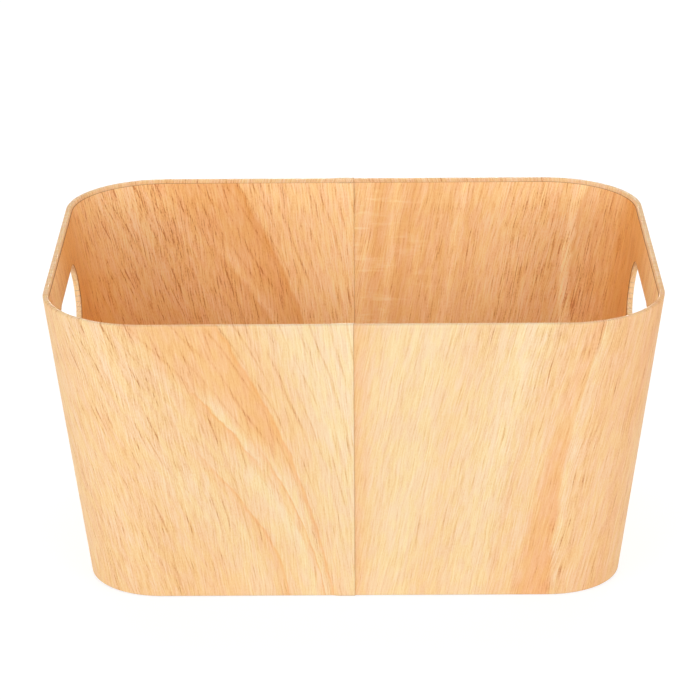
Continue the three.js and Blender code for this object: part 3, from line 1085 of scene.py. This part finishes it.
@dataclass(frozen=True)
class FibreBoard:
    """Pressed or plain paper pulp: two fibre colours, mottled, with short fibres and specks.

    Its three noises are given by scale, detail and roughness.
    """

    name: str
    pale: Colour
    dark: Colour
    speck: Colour
    roughness: float = 0.9
    relief: float = 0.03
    specular: float = 0.25
    clouds: tuple[float, float, float] = (0.12, 3.0, 0.6)
    fibres: tuple[float, float, float] = (1.4, 3.0, 0.7)
    specks: tuple[float, float, float] = (0.9, 1.0, 0.5)
    fibre_swing: float = 0.9
    speck_range: tuple[float, float] = (0.68, 0.78)
    speck_share: float = 0.7

    def material(self) -> bpy.types.Material:
        """Writes the pulp in the object's own coordinates, in millimetres.

        Returns:
            The material.
        """
        w = Weave(self.name)
        place = w.node("ShaderNodeTexCoord").outputs["Object"]
        scaled = w.node("ShaderNodeVectorMath", {"Scale": 1.0 / MM}, operation="SCALE")
        w.put(scaled.inputs[0], place)
        clouds, fibres, specks = (
            w.noise(scaled.outputs[0], detail, rough, scale)
            for scale, detail, rough in (self.clouds, self.fibres, self.specks)
        )
        tone = w.add(w.math("SUBTRACT", fibres, 0.5), self.fibre_swing, clouds, clamp=True)
        colour = w.blend(tone, self.dark, self.pale)
        colour = w.blend(w.span(specks, *self.speck_range, 0.0, self.speck_share), colour, self.speck)
        w.finish(colour, self.roughness, fibres, self.relief, self.specular)
        return w.material


GREYBOARD = FibreBoard("greyboard", (0.46, 0.41, 0.34), (0.27, 0.235, 0.19), (0.14, 0.11, 0.085))
KRAFT_TAPE = FibreBoard("kraft_tape", (0.62, 0.44, 0.25), (0.48, 0.32, 0.17), (0.30, 0.19, 0.10), 0.8)
PLAIN_PAPER = FibreBoard("plain_paper", (0.66, 0.48, 0.29), (0.53, 0.36, 0.20), (0.33, 0.21, 0.11), 0.85)


@dataclass(frozen=True)
class SheetPath:
    """The way that a sheet takes through a section of the wall.

    Attributes:
        points: Depths and heights, m by 2.
        out: Directions away from the board, m by 2.
        start: Number of points before the wall's face.
    """

    points: Array
    out: Array
    start: int

    @staticmethod
    def joined(*stretches: tuple[Array, object]) -> "SheetPath":
        """A path from stretches: a margin, a fold, the wall's face and what follows.

        Args:
            *stretches: The points of each, and their directions or the one that they share.

        Returns:
            The path.
        """
        points = np.concatenate([stretch for stretch, _ in stretches])
        out = np.concatenate([np.broadcast_to(away, stretch.shape) for stretch, away in stretches])
        return SheetPath(points, out, len(stretches[0][0]) + len(stretches[1][0]))

    def ticks(self) -> Array:
        """Distances along the sheet, counted from the level of the ground."""
        run = np.concatenate([[0.0], np.cumsum(np.linalg.norm(np.diff(self.points, axis=0), axis=1))])
        return run - run[self.start] + self.points[self.start, 1]


@dataclass(frozen=True)
class SlotPatch:
    """The part of a sheet round the slot: rings from the patch's border inwards, k points to each.

    Attributes:
        spots: Places along the wall and up its slope from the slot's middle, k by r by 2.
        depths: Level depths, k by r.
        heights: Heights, k by r.
        sheets: Places on the sheet, as spots in the slope, k by r by 2.
        trim: Distances to a cut edge that shows, k by r.
        keep: Which faces there are, k by r.
    """

    spots: Array
    depths: Array
    heights: Array
    sheets: Array
    trim: Array
    keep: Array


@dataclass
class WallSheet:
    """A printed paper on one half of the wall.

    Its print starts at the front seam on the outside and at the back seam on the inside.

    Attributes:
        lap: Overlap of the left papers on the right ones at a seam.
        lap_ramp: Length in which a paper rises on to the one below.
        edge_step: First mesh step from a cut edge.
        left_gaps: Distances from the seam of further mesh lines of a left paper, before its rise.
        right_gaps: The same of a right paper.
        last_gaps: The same of both, where the lines still stand upright.
        fold_gap: Mesh step next to a fold.
        rim_turn_in: The wrap's length down the inside.
    """

    side: Side
    wall: WallForm
    sheet: Print
    lap: float = 8.0
    lap_ramp: float = 3.5
    lap_steps: int = 4
    edge_step: float = 0.35
    left_gaps: tuple[float, ...] = (2.7, 5.4)
    right_gaps: tuple[float, ...] = (-5.0, -2.5, 0.0, 3.0, 6.0, 9.0, 12.0)
    last_gaps: tuple[float, ...] = (15.0, 18.0)
    row_step: float = 3.4
    fold_gap: float = 0.4
    rim_turn_in: float = 16.0

    kind = "sheet"
    shows = Shows.OUTWARDS

    @property
    def first(self) -> int:
        """Index of the line where the print starts, and of the end wall's line nearest to it."""
        return 0 if self.shows is Shows.OUTWARDS else -1

    @property
    def face(self) -> float:
        """Depth of the sheet's printed face."""
        return 0.0 if self.shows is Shows.OUTWARDS else self.wall.stack.wall

    def seam_gaps(self) -> Array:
        """Mesh lines near a seam. Left papers end in the middle, right ones reach past it under the lap.

        Returns:
            Distances from the seam in rising order.
        """
        if self.side is Side.LEFT:
            rise = np.linspace(self.lap, self.lap + self.lap_ramp, self.lap_steps + 1)
            return np.concatenate([[0.0, self.edge_step], self.left_gaps, rise, self.last_gaps])
        start = -(self.lap - self.wall.stack.glue)
        return np.array([start, start + self.edge_step, *self.right_gaps, *self.last_gaps])

    def lap_lift(self, columns: Columns) -> Array:
        """How many papers lie between this one and the board's next layer at each line of the wall."""
        if self.side is Side.RIGHT:
            return np.zeros(len(columns.seam_gap))
        return 1.0 - ease((columns.seam_gap - self.lap) / self.lap_ramp)

    def wall_rows(self, low: float, high: float) -> Array:
        """Mesh rows between two folds, with the slot's patch on rows of its own.

        Args:
            low: Height of the lower fold's end.
            high: Height of the upper fold's start.

        Returns:
            Heights in rising order.
        """
        level, reach = self.wall.slot_level, self.wall.slot.window[1]
        patch = np.linspace(level - reach, level + reach, self.wall.slot.side_steps + 1)
        rows_below = int(round((patch[0] - low) / self.row_step)) + 1
        rows_above = max(2, int(round((high - patch[-1]) / self.row_step))) + 1
        below = np.linspace(low + self.fold_gap, patch[0], rows_below)[:-1]
        above = np.linspace(patch[-1], high - self.fold_gap, rows_above)[1:]
        return np.concatenate([below, patch, above])

    def patch_index(self, columns: Columns, path: SheetPath) -> tuple[Array, Array]:
        """Numbers of the lines and rows that border the slot's patch.

        Args:
            columns: The lines.
            path: The rows' path.

        Returns:
            The lines' and the rows' numbers.
        """
        wide, reach = (size + TINY for size in self.wall.slot.window)
        lines = np.flatnonzero(np.abs(columns.end_along) <= wide)
        depth, height = path.points.T
        inside = np.abs(height - self.wall.slot_level) <= reach
        return lines, np.flatnonzero((depth == self.face) & inside)

    def patch_loop(self, numbers: Array) -> Array:
        """Point numbers round the patch, from below the right end of the slot's straight edge, leftwards.

        Args:
            numbers: Point numbers of the lines and rows that border the patch.

        Returns:
            The numbers of the border's points in order.
        """
        first = self.wall.slot.corner_steps + self.wall.slot.straight_steps
        return np.concatenate([
            numbers[first:-1, 0],
            numbers[-1, :-1],
            numbers[:0:-1, -1],
            numbers[0, :0:-1],
            numbers[:first, 0],
        ])

    def flat_spots(self, columns: Columns, lines: FlatLines, line: int, spots: Array) -> Array:
        """Places on the flat sheet of spots in the end wall's slope.

        The end wall is flat, so its spots go over by one turn and one shift, those of an upright line.

        Args:
            columns: The lines up the wall.
            lines: The same on the flat sheet.
            line: Number of an upright line.
            spots: Places along the wall and up the slope from the slot's middle.

        Returns:
            Places on the flat sheet.
        """
        turn = lines.turns[line]
        up = spots[..., 1:] + self.wall.slot_level * lines.lengths[line] / self.wall.height
        over = self.shows.value * (spots[..., :1] - columns.end_along[line])
        across, upwards = [math.cos(turn), -math.sin(turn)], [math.sin(turn), math.cos(turn)]
        return lines.feet[line] + over * across + up * upwards

    def build(self) -> bpy.types.Object:
        """Builds the sheet: lays it on the wall and adds the patch round the slot.

        Returns:
            The finished object.
        """
        wall = self.wall
        columns, path = wall.half_columns(self.side, self.seam_gaps()), self.path()
        across, up = self.lifts(columns, path)
        depth = path.points[None, :, 0] + across * path.out[None, :, 0]
        height = path.points[None, :, 1] + up * path.out[None, :, 1]
        if self.shows is Shows.OUTWARDS:
            lines = columns.unroll(self.face, wall.height)
        else:
            lines = columns.backwards().unroll(self.face, wall.height).backwards()
        flat = lines.places(path.ticks()[None, :] * (lines.lengths / wall.height)[:, None])
        surface = Surface()
        numbers = surface.add_points(wall.place(columns, depth, height), flat, self.trim(columns, path))
        keep = np.ones((numbers.shape[0] - 1, numbers.shape[1] - 1), bool)
        ends, rows = self.patch_index(columns, path)
        keep[np.ix_(ends[:-1], rows[:-1])] = False
        self.slit_foot(columns, path, keep)
        surface.add_faces(numbers, keep)
        loop = self.patch_loop(numbers[np.ix_(ends, rows)])
        _, along, level = surface.points[0][loop].T
        patch = self.slot_patch(pairs(along, (level - wall.slot_level) / math.cos(wall.tilt)))
        points = wall.place_on_end(self.side, patch.spots[..., 0], patch.heights, patch.depths)
        flat = self.flat_spots(columns, lines, ends[self.first], patch.sheets)
        rings = np.column_stack([loop, surface.add_points(points, flat, patch.trim)])
        surface.add_faces(np.vstack([rings, rings[:1]]), patch.keep)
        facing = self.side.value * self.shows.value
        return surface.build(f"{self.kind}_{self.side.name.lower()}", self.sheet, facing, wall.stack.paper)

    def path(self) -> SheetPath:
        """The sheet's path through the wall's section."""
        raise NotImplementedError

    def lifts(self, columns: Columns, path: SheetPath) -> tuple[Array, Array]:
        """How far each point is lifted across the wall and up it, along its direction, n by m each."""
        raise NotImplementedError

    def slot_patch(self, border: Array) -> SlotPatch:
        """The patch round the slot, from its border's spots."""
        raise NotImplementedError

    def trim(self, columns: Columns, path: SheetPath) -> Array:
        """Distance to the nearest cut edge that shows, here the sheet's edge at a seam, n by m."""
        seam = np.abs(columns.seam_gap - columns.seam_gap[0])
        return np.broadcast_to(seam[:, None], (len(seam), len(path.points)))

    def slit_foot(self, columns: Columns, path: SheetPath, keep: Array) -> None:
        """Takes out the faces where the sheet is slit. This one isn't."""


@dataclass
class OuterWrap(WallSheet):
    """The printed paper outside one half: under the base, up the wall, over the rim and down inside.

    Attributes:
        foot_turn_in: Length under the base.
        foot_slit_start: Distance from the outer face at which the foot slits start.
        foot_depths: Depths of mesh rows between the two.
        slit_tolerance: Mesh steps up to this many slits wide are slits.
        slot_fold: Outer radius of the fold round the board's edge at the slot.
        slit_from: Mesh step of that fold at which the slits between tabs start.
        tab_reach: Length of the tabs on the inside of the board.
        patch_shares: Shares of the way from the patch's border to the fold, for the patch's rings.
    """

    foot_turn_in: float = 12.0
    foot_slit_start: float = 2.5
    foot_depths: tuple[float, ...] = (9.0, 6.0, 4.0)
    slit_tolerance: float = 1.2
    fold_steps: int = 5
    inside_gap: float = 1.2
    inside_rows: int = 6
    slot_fold: float = 0.5
    slot_fold_steps: int = 4
    slit_from: int = 2
    tab_reach: float = 4.8
    patch_shares: tuple[float, ...] = (0.35, 0.62, 0.8, 0.93, 1.0)
    hem_shares: tuple[float, ...] = (0.3, 0.7, 1.0)
    tab_shares: tuple[float, ...] = (0.1, 0.5, 1.0)

    kind = "wrap"

    def path(self) -> SheetPath:
        """The sheet's path from its edge under the base to its edge inside the rim.

        Returns:
            The path. The rim is cut square to the leaning wall, so its points rise with their depth.
        """
        stack, height = self.wall.stack, self.wall.height
        radius = stack.edge_rounding + stack.step
        bottom = stack.board_foot - stack.step
        folded = radius + self.fold_gap
        margin = np.array([self.foot_turn_in, *self.foot_depths, self.foot_slit_start, folded])
        foot = (radius, bottom + radius)
        foot_fold = fold_arc(foot, radius, 270.0, 180.0, self.fold_steps)
        top, inner = height - radius, stack.wall - radius
        over = np.concatenate([
            fold_arc((radius, top), radius, 180.0, 90.0, self.fold_steps),
            [[(radius + inner) / 2.0, height]],
            fold_arc((inner, top), radius, 90.0, 0.0, self.fold_steps),
        ])
        over[:, 1] += over[:, 0] * self.wall.slope
        bend = np.linspace(180.0, 90.0, self.fold_steps + 1)
        over_out = ways(np.radians(np.concatenate([bend, [90.0], bend - 90.0])))
        last = over[-1, 1]
        inside = np.linspace(last - self.inside_gap, height - self.rim_turn_in, self.inside_rows)
        return SheetPath.joined(
            (pairs(margin, bottom), (0.0, -1.0)),
            (foot_fold, (foot_fold - foot) / radius),
            (pairs(0.0, self.wall_rows(bottom + radius, top)), (-1.0, 0.0)),
            (over, over_out),
            (pairs(stack.wall, np.concatenate([[last - self.fold_gap], inside])), (1.0, 0.0)),
        )

    def lifts(self, columns: Columns, path: SheetPath) -> tuple[Array, Array]:
        """Lift of one paper where it laps over the next sheet."""
        lift = self.wall.stack.step * self.lap_lift(columns)[:, None]
        return lift, lift

    def slit_foot(self, columns: Columns, path: SheetPath, keep: Array) -> None:
        """Takes the narrow faces out of the foot margin where slits let it lie flat round the corners.

        Args:
            columns: The lines up the wall, in pairs a slit apart.
            path: The sheet's path.
            keep: Which faces there are. It is changed.
        """
        gap = np.linalg.norm(np.diff(columns.foot, axis=0), axis=1)
        corner = (columns.end_along[:-1] == FAR) & (columns.seam_gap[:-1] == FAR)
        margin = np.flatnonzero(path.points[:path.start, 0] >= self.foot_slit_start)
        keep[np.ix_(corner & (gap < self.slit_tolerance * self.wall.foot_slit), margin[:-1])] = False

    def slot_patch(self, border: Array) -> SlotPatch:
        """The patch round the slot, the hem through the board's thickness and the notched tabs.

        Rings run from the patch's border to the slot's edge by straight mixing. The fold's first arc takes
        the paper through the board, the second lays the tabs flat on the inside, each tab along its own
        middle direction, so that they fan apart round the slot's ends.

        Args:
            border: Spots of the patch's border, k by 2.

        Returns:
            The patch.
        """
        wall, slot, fold = self.wall, self.wall.slot, self.slot_fold
        centres, turns, tab_turns, slit = slot.loop()
        own, tab = ways(turns), ways(tab_turns)
        edge = centres + slot.radius * own
        rings: list[tuple[Array, float, Array]] = []

        def add(spots: Array, deep: float, run: float) -> None:
            """Adds a ring at a depth, a run of paper past the fold's start."""
            rings.append((spots, deep, edge + (fold - run) * own))

        for share in self.patch_shares:
            spots = border + share * (edge + fold * own - border)
            rings.append((spots, 0.0, spots))
        turned = np.radians(np.linspace(0.0, 90.0, self.slot_fold_steps + 1))[1:]
        for turn in turned:
            add(edge + fold * (1.0 - math.sin(turn)) * own, fold * (1.0 - math.cos(turn)), fold * turn)
        arc, hem = fold * QUARTER, wall.stack.wall - 2.0 * fold
        for share in self.hem_shares:
            add(edge, fold + share * hem, arc + share * hem)
        for turn in turned:
            deep = wall.stack.wall - fold * (1.0 - math.sin(turn))
            add(edge + fold * (1.0 - math.cos(turn)) * tab, deep, arc + hem + fold * turn)
        for share in self.tab_shares:
            reach = share * (self.tab_reach - fold)
            add(edge + (fold + reach) * tab, wall.stack.wall, 2.0 * arc + hem + reach)
        spots, sheets = (np.stack([ring[part] for ring in rings], axis=1) for part in (0, 2))
        depths = np.broadcast_to([ring[1] for ring in rings], spots.shape[:2])
        cos, sin = math.cos(wall.tilt), math.sin(wall.tilt)
        heights = wall.slot_level + spots[..., 1] * cos + depths * sin * cos
        keep = np.ones(depths.shape, bool)
        keep[slit, len(self.patch_shares) + self.slit_from:] = False
        return SlotPatch(spots, depths, heights, sheets, np.full(depths.shape, FAR), keep)


@dataclass
class InnerLiner(WallSheet):
    """The printed paper inside one half: from just below the rim down to a flange on the base board.

    Attributes:
        drop: Its upper edge below the rim's inner edge.
        flange: Its length on the base board.
        setback: Its edge from the slot's edge.
        tape: Half width of the joint tape under the seam, with its clearance.
        tape_clear: How far before the tape's edge other mesh lines stay away.
        pad: Distance from the slot's edge over which the tabs below lift the liner.
        pad_ramp: Length in which it comes down off them.
        joggle: Height in which it steps on to the wrap's turned-in margin.
        joggle_end: How far below that margin's edge it has its full lift.
        joggle_row: Mesh step below that edge.
        joggle_clear: How far below and above that edge other mesh rows stay away.
    """

    drop: float = 2.0
    flange: float = 10.0
    flange_depths: tuple[float, ...] = (8.0, 5.0)
    setback: float = 1.2
    tape: float = 12.5
    tape_clear: float = 0.5
    pad: float = 7.4
    pad_ramp: float = 1.8
    joggle: float = 7.0
    joggle_end: float = 0.5
    joggle_row: float = 1.2
    joggle_clear: tuple[float, float] = (2.0, 0.5)
    fold: float = 0.6
    fold_steps: int = 5
    patch_shares: tuple[float, ...] = (0.3, 0.6, 0.85, 1.0)

    kind = "liner"
    shows = Shows.INWARDS

    @property
    def top(self) -> float:
        """Height of its upper edge."""
        return self.wall.height + self.wall.stack.wall * self.wall.slope - self.drop

    @property
    def turn_in_end(self) -> float:
        """Height of the edge of the wrap's turned-in margin."""
        return self.wall.height - self.rim_turn_in

    def seam_gaps(self) -> Array:
        """Mesh lines near a seam, with those where the liner comes down off the joint tape."""
        near = super().seam_gaps()
        down = np.linspace(self.tape, self.tape + self.lap_ramp, self.lap_steps)
        return np.concatenate([near[near < self.tape - self.tape_clear], down, self.last_gaps[-1:]])

    def pad_lift(self, away: Array) -> Array:
        """Lift off the board over the slot's tabs, in papers, at distances from the slot's edge."""
        return 1.0 - ease((away - self.pad + self.pad_ramp) / self.pad_ramp)

    def path(self) -> SheetPath:
        """The sheet's path from its edge on the base board to its edge below the rim.

        Returns:
            The path.
        """
        stack, deep, fold = self.wall.stack, self.face, self.fold
        floor = stack.base_top + stack.step
        rows, end = self.wall_rows(floor + fold, self.top + self.fold_gap), self.turn_in_end
        below, above = self.joggle_clear
        rows = np.unique(np.concatenate([
            rows[(rows < end - below) | (rows > end + above)],
            [end - self.joggle_row, end, self.top - self.edge_step],
        ]))
        inmost = deep + self.flange - stack.step
        flange = np.array([inmost, *self.flange_depths, deep + fold + self.fold_gap])
        bend = fold_arc((deep + fold, floor + fold), fold, 270.0, 180.0, self.fold_steps)
        return SheetPath.joined(
            (pairs(flange, floor), (0.0, 1.0)),
            (bend, (np.array([deep, floor]) + fold - bend) / fold),
            (pairs(deep, rows), (1.0, 0.0)),
        )

    def lifts(self, columns: Columns, path: SheetPath) -> tuple[Array, Array]:
        """Lift off the board: over tape and lap at the seams, the wrap's turned-in margin and its tabs.

        Args:
            columns: The lines up the wall.
            path: The sheet's path.

        Returns:
            Lift across the wall and up it.
        """
        step, level = self.wall.stack.step, path.points[:, 1]
        lap = self.lap_lift(columns)
        seam = lap + 1.0 - ease((columns.seam_gap - self.tape) / self.lap_ramp)
        rim = ease((level - self.turn_in_end + self.joggle) / (self.joggle - self.joggle_end))[None, :]
        up = (level - self.wall.slot_level)[None, :] / math.cos(self.wall.tilt)
        pad = self.pad_lift(self.wall.slot.distance(columns.end_along[:, None], up))
        papers = np.maximum(rim, np.maximum(seam[:, None], pad)) + lap[:, None] * rim
        return step * papers, step * lap[:, None]

    def trim(self, columns: Columns, path: SheetPath) -> Array:
        """Distance to the nearest cut edge that shows: at a seam or below the rim."""
        return np.minimum(super().trim(columns, path), np.maximum(self.top - path.points[None, :, 1], 0.0))

    def slot_patch(self, border: Array) -> SlotPatch:
        """The patch round the liner's hole, by straight mixing from its border to the hole's edge.

        Args:
            border: Spots of the patch's border, k by 2.

        Returns:
            The patch.
        """
        wall, slot = self.wall, self.wall.slot
        centres, turns, _, _ = slot.loop()
        edge = centres + (slot.radius + self.setback) * ways(turns)
        shares = np.array(self.patch_shares)[None, :, None]
        spots = border[:, None] + shares * (edge - border)[:, None]
        away = slot.distance(spots[..., 0], spots[..., 1])
        depths = self.face + wall.stack.step * self.pad_lift(away)
        heights = wall.slot_level + spots[..., 1] * math.cos(wall.tilt)
        trim = np.maximum(away - self.setback, 0.0)
        return SlotPatch(spots, depths, heights, spots, trim, np.ones(away.shape, bool))


@dataclass
class LevelSheet:
    """A flat paper that fills the basket's rounded outline.

    Attributes:
        inset: Its edge from the outer face.
        shows: Which way its printed face looks: outwards is down.
        print_at: Where its middle lies on the print.
    """

    name: str
    wall: WallForm
    inset: float
    height: float
    shows: Shows
    sheet: Print
    lines: int = 61
    rows_across: int = 24
    corner_steps: int = 16
    print_at: tuple[float, float] = (200.0, 75.0)

    def build(self) -> bpy.types.Object:
        """Builds the sheet: rows across, each as wide as the rounded outline is at its place.

        Returns:
            The finished object.
        """
        rise = self.height / self.wall.height
        low, high = np.array(self.wall.half(True)), np.array(self.wall.half(False))
        length, width, radius = low + rise * (high - low) - self.inset
        flat = width - radius
        outer = flat + radius * np.sin(np.linspace(0.0, QUARTER, self.corner_steps + 1))
        middle = np.linspace(-flat, flat, self.rows_across + 1)[1:-1]
        along = np.concatenate([-outer[::-1], middle, outer])
        over = np.maximum(np.abs(along) - flat, 0.0)
        half = length - radius + np.sqrt(np.maximum(radius ** 2 - over ** 2, 0.0))
        level = pairs(np.linspace(-1.0, 1.0, self.lines)[:, None] * half, along)
        points = np.insert(level, 2, self.height, axis=2)
        surface = Surface()
        surface.add_faces(surface.add_points(points, level + self.print_at, np.full(level.shape[:2], FAR)))
        return surface.build(self.name, self.sheet, -self.shows.value, self.wall.stack.paper)


@dataclass(frozen=True)
class SoftLamp:
    """A far soft lamp.

    Attributes:
        azimuth: Where it stands as seen from the basket: 0 is the camera's side, and 90 the right.
        breadth: How broad it looks, in degrees.
    """

    name: str
    azimuth: float
    elevation: float
    breadth: float
    strength: float

    def build(self) -> None:
        """Builds the lamp."""
        turn, rise = math.radians(self.azimuth), math.radians(self.elevation)
        level = math.cos(rise)
        towards = Vector((math.sin(turn) * level, -math.cos(turn) * level, math.sin(rise)))
        lamp = bpy.data.lights.new(self.name, "SUN")
        lamp.energy = self.strength
        lamp.angle = math.radians(self.breadth)
        stand = bpy.data.objects.new(self.name, lamp)
        stand.rotation_euler = towards.to_track_quat("Z", "Y").to_euler()
        bpy.context.scene.collection.objects.link(stand)


@dataclass(frozen=True)
class Studio:
    """A plain pale floor, a pale surrounding and soft lamps.

    Attributes:
        floor_size: The floor's diameter in metres.
        floor_under: How far it reaches in under the basket.
        floor_seen: Its grey for the camera.
        floor_glow: What lifts it to white for the camera.
        lamps: The lamps. The low ones light the ends and the back without reaching the inside.
    """

    floor_size: float = 12.0
    floor_drop: float = 0.05
    floor_under: float = 1.5
    floor_sides: int = 96
    floor_colour: float = 0.86
    floor_seen: float = 0.30
    floor_glow: float = 0.80
    ambient: float = 0.304
    lamps: tuple[SoftLamp, ...] = (
        SoftLamp("soft_left", -47.0, 18.0, 50.0, 1.66),
        SoftLamp("soft_right", 47.0, 18.0, 50.0, 1.52),
        SoftLamp("low_left", -88.0, 2.0, 6.0, 0.42),
        SoftLamp("low_right", 88.0, 2.0, 6.0, 0.38),
        SoftLamp("low_back", 180.0, 3.0, 6.0, 0.60),
        SoftLamp("soft_back", 180.0, 55.0, 50.0, 1.0),
    )

    def build(self, wall: WallForm) -> None:
        """Builds the floor, the surrounding light and the lamps.

        The floor is left open under the foot, so that the underside has light in views from below.

        Args:
            wall: The form that stands on the floor.
        """
        way = ways(np.linspace(0.0, 2.0 * math.pi, self.floor_sides, endpoint=False))
        centre = np.array([wall.flat(True, Walls.LONG), wall.flat(True, Walls.END)]) * MM
        inner = np.sign(np.round(way, 6)) * centre + (wall.foot_radius - self.floor_under) * MM * way
        rings = np.vstack([inner, way * self.floor_size / 2.0])
        points = np.insert(rings, 2, -self.floor_drop * MM, axis=1)
        near = np.arange(self.floor_sides)
        after = np.roll(near, -1)
        mesh = bpy.data.meshes.new("floor")
        faces = np.column_stack([near, near + self.floor_sides, after + self.floor_sides, after])
        mesh.from_pydata(points, [], faces)
        floor = bpy.data.objects.new("floor", mesh)
        bpy.context.scene.collection.objects.link(floor)
        mesh.materials.append(self.floor_material())
        self.build_world()
        for lamp in self.lamps:
            lamp.build()
        log.info("studio: floor, surrounding and %d lamps", len(self.lamps))

    def floor_material(self) -> bpy.types.Material:
        """A pale matt floor, clear from below. The camera sees it lifted to white, its shadow left.

        Returns:
            The material.
        """
        w = Weave("floor")
        camera = w.node("ShaderNodeLightPath").outputs["Is Camera Ray"]
        seen = w.fill("ShaderNodeMapRange", camera, 0.0, 1.0, self.floor_colour, self.floor_seen)
        matt = w.node("ShaderNodeBsdfDiffuse", {"Color": seen}).outputs[0]
        lifted = w.math("MULTIPLY", camera, self.floor_glow)
        glow = w.node("ShaderNodeEmission", {"Strength": lifted}).outputs[0]
        both = w.fill("ShaderNodeAddShader", matt, glow)
        through = w.node("ShaderNodeBsdfTransparent", {"Color": (1.0, 1.0, 1.0)}).outputs[0]
        below = w.node("ShaderNodeNewGeometry").outputs["Backfacing"]
        surface = w.fill("ShaderNodeMixShader", below, both, through)
        w.node("ShaderNodeOutputMaterial", {"Surface": surface})
        return w.material

    def build_world(self) -> None:
        """A white surrounding: full strength for what the camera sees, the plain level for light."""
        world = bpy.data.worlds.new("surrounding")
        bpy.context.scene.world = world
        world.use_nodes = True
        tree = world.node_tree
        tree.nodes.clear()
        rays = tree.nodes.new("ShaderNodeLightPath")
        level = tree.nodes.new("ShaderNodeMapRange")
        level.inputs["To Min"].default_value = self.ambient
        level.inputs["To Max"].default_value = 1.0
        glow = tree.nodes.new("ShaderNodeBackground")
        glow.inputs["Color"].default_value = (1.0, 1.0, 1.0, 1.0)
        out = tree.nodes.new("ShaderNodeOutputWorld")
        tree.links.new(rays.outputs["Is Camera Ray"], level.inputs["Value"])
        tree.links.new(level.outputs["Result"], glow.inputs["Strength"])
        tree.links.new(glow.outputs[0], out.inputs["Surface"])


@dataclass(frozen=True)
class PhotoCamera:
    """The camera where the photograph was taken from, found from the rim's and the foot's outlines.

    Attributes:
        yaw: Its turn to the right, in radians.
        reach: How far it sees, in metres.
    """

    place: tuple[float, float, float] = (4.276, -1574.868, 680.736)
    yaw: float = -0.00415
    down: float = 0.35566
    roll: float = -0.00656
    lens: float = 164.74
    sensor: float = 36.0
    reach: float = 50.0

    def build(self) -> None:
        """Builds the camera from its forward, right and up directions."""
        level = Vector((math.cos(self.yaw), -math.sin(self.yaw), 0.0))
        ahead = Vector((math.sin(self.yaw) * math.cos(self.down), math.cos(self.yaw) * math.cos(self.down),
                        -math.sin(self.down)))
        upright = level.cross(ahead)
        right = math.cos(self.roll) * level + math.sin(self.roll) * upright
        up = math.cos(self.roll) * upright - math.sin(self.roll) * level
        data = bpy.data.cameras.new("camera")
        data.lens = self.lens
        data.sensor_width = self.sensor
        data.clip_end = self.reach
        camera = bpy.data.objects.new("camera", data)
        turned = Matrix((right, up, -ahead)).transposed().to_4x4()
        camera.matrix_world = Matrix.Translation(Vector(self.place) * MM) @ turned
        bpy.context.scene.collection.objects.link(camera)
        bpy.context.scene.camera = camera


def hand_over(piece: bpy.types.Object, material: bpy.types.Material, slot: str, *nodes: str) -> None:
    """Gives a piece its material, hangs it under the root body and hides the frame nodes that it stands
    for.

    Args:
        piece: The piece.
        material: Its material.
        slot: Its finish slot; not used.
        *nodes: The frame nodes that it stands for.
    """
    piece.data.materials.clear()
    piece.data.materials.append(material)
    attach(piece, "root")
    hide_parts(*nodes)
    log.info("%s: %d faces for %s", piece.name, len(piece.data.polygons), ", ".join(nodes))


def dress_nodes(material: bpy.types.Material, *names: str) -> None:
    """Gives frame nodes that stay their material."""
    for name in names:
        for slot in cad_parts[name].material_slots:
            slot.material = material
        log.info("%s: kept, with %s", name, material.name)


def main() -> None:
    """Builds the camera, the studio, the papers and the boards' finishes in order."""
    logging.basicConfig(level=logging.INFO, format="%(name)s: %(message)s")
    wall = WallForm()
    stack = wall.stack
    PhotoCamera().build()
    Studio().build(wall)
    paper = WoodPrintPaper()
    sheets = (CATHEDRAL, LEFT_INSIDE, RIGHT_OUTSIDE, RIGHT_INSIDE)
    prints = {sheet.name: paper.material(sheet) for sheet in sheets}
    greyboard, kraft, plain = (pulp.material() for pulp in (GREYBOARD, KRAFT_TAPE, PLAIN_PAPER))
    for piece, node in (
        (OuterWrap(Side.RIGHT, wall, RIGHT_OUTSIDE), "outer_wrap_right"),
        (OuterWrap(Side.LEFT, wall, CATHEDRAL), "outer_wrap_left"),
        (InnerLiner(Side.RIGHT, wall, RIGHT_INSIDE), "inner_liner_right"),
        (InnerLiner(Side.LEFT, wall, LEFT_INSIDE), "inner_liner_left"),
        (LevelSheet("floor_paper", wall, stack.wall + 2.0 * stack.step + stack.floor_clearance,
                    stack.base_top + 3.0 * stack.step, Shows.INWARDS, RIGHT_OUTSIDE), "floor_lining"),
    ):
        hand_over(piece.build(), prints[piece.sheet.name], "wood_print_paper", node)
    under = LevelSheet("base_paper", wall, stack.underside_inset, 0.0, Shows.OUTWARDS, RIGHT_OUTSIDE)
    hand_over(under.build(), plain, "plain_paper", "underside_paper")
    dress_nodes(greyboard, "wall_board_left", "wall_board_right", "base_board")
    dress_nodes(kraft, "joint_tape_front", "joint_tape_back")
    bpy.context.scene.view_settings.view_transform = "Standard"


if __name__ == "__main__":
    main()
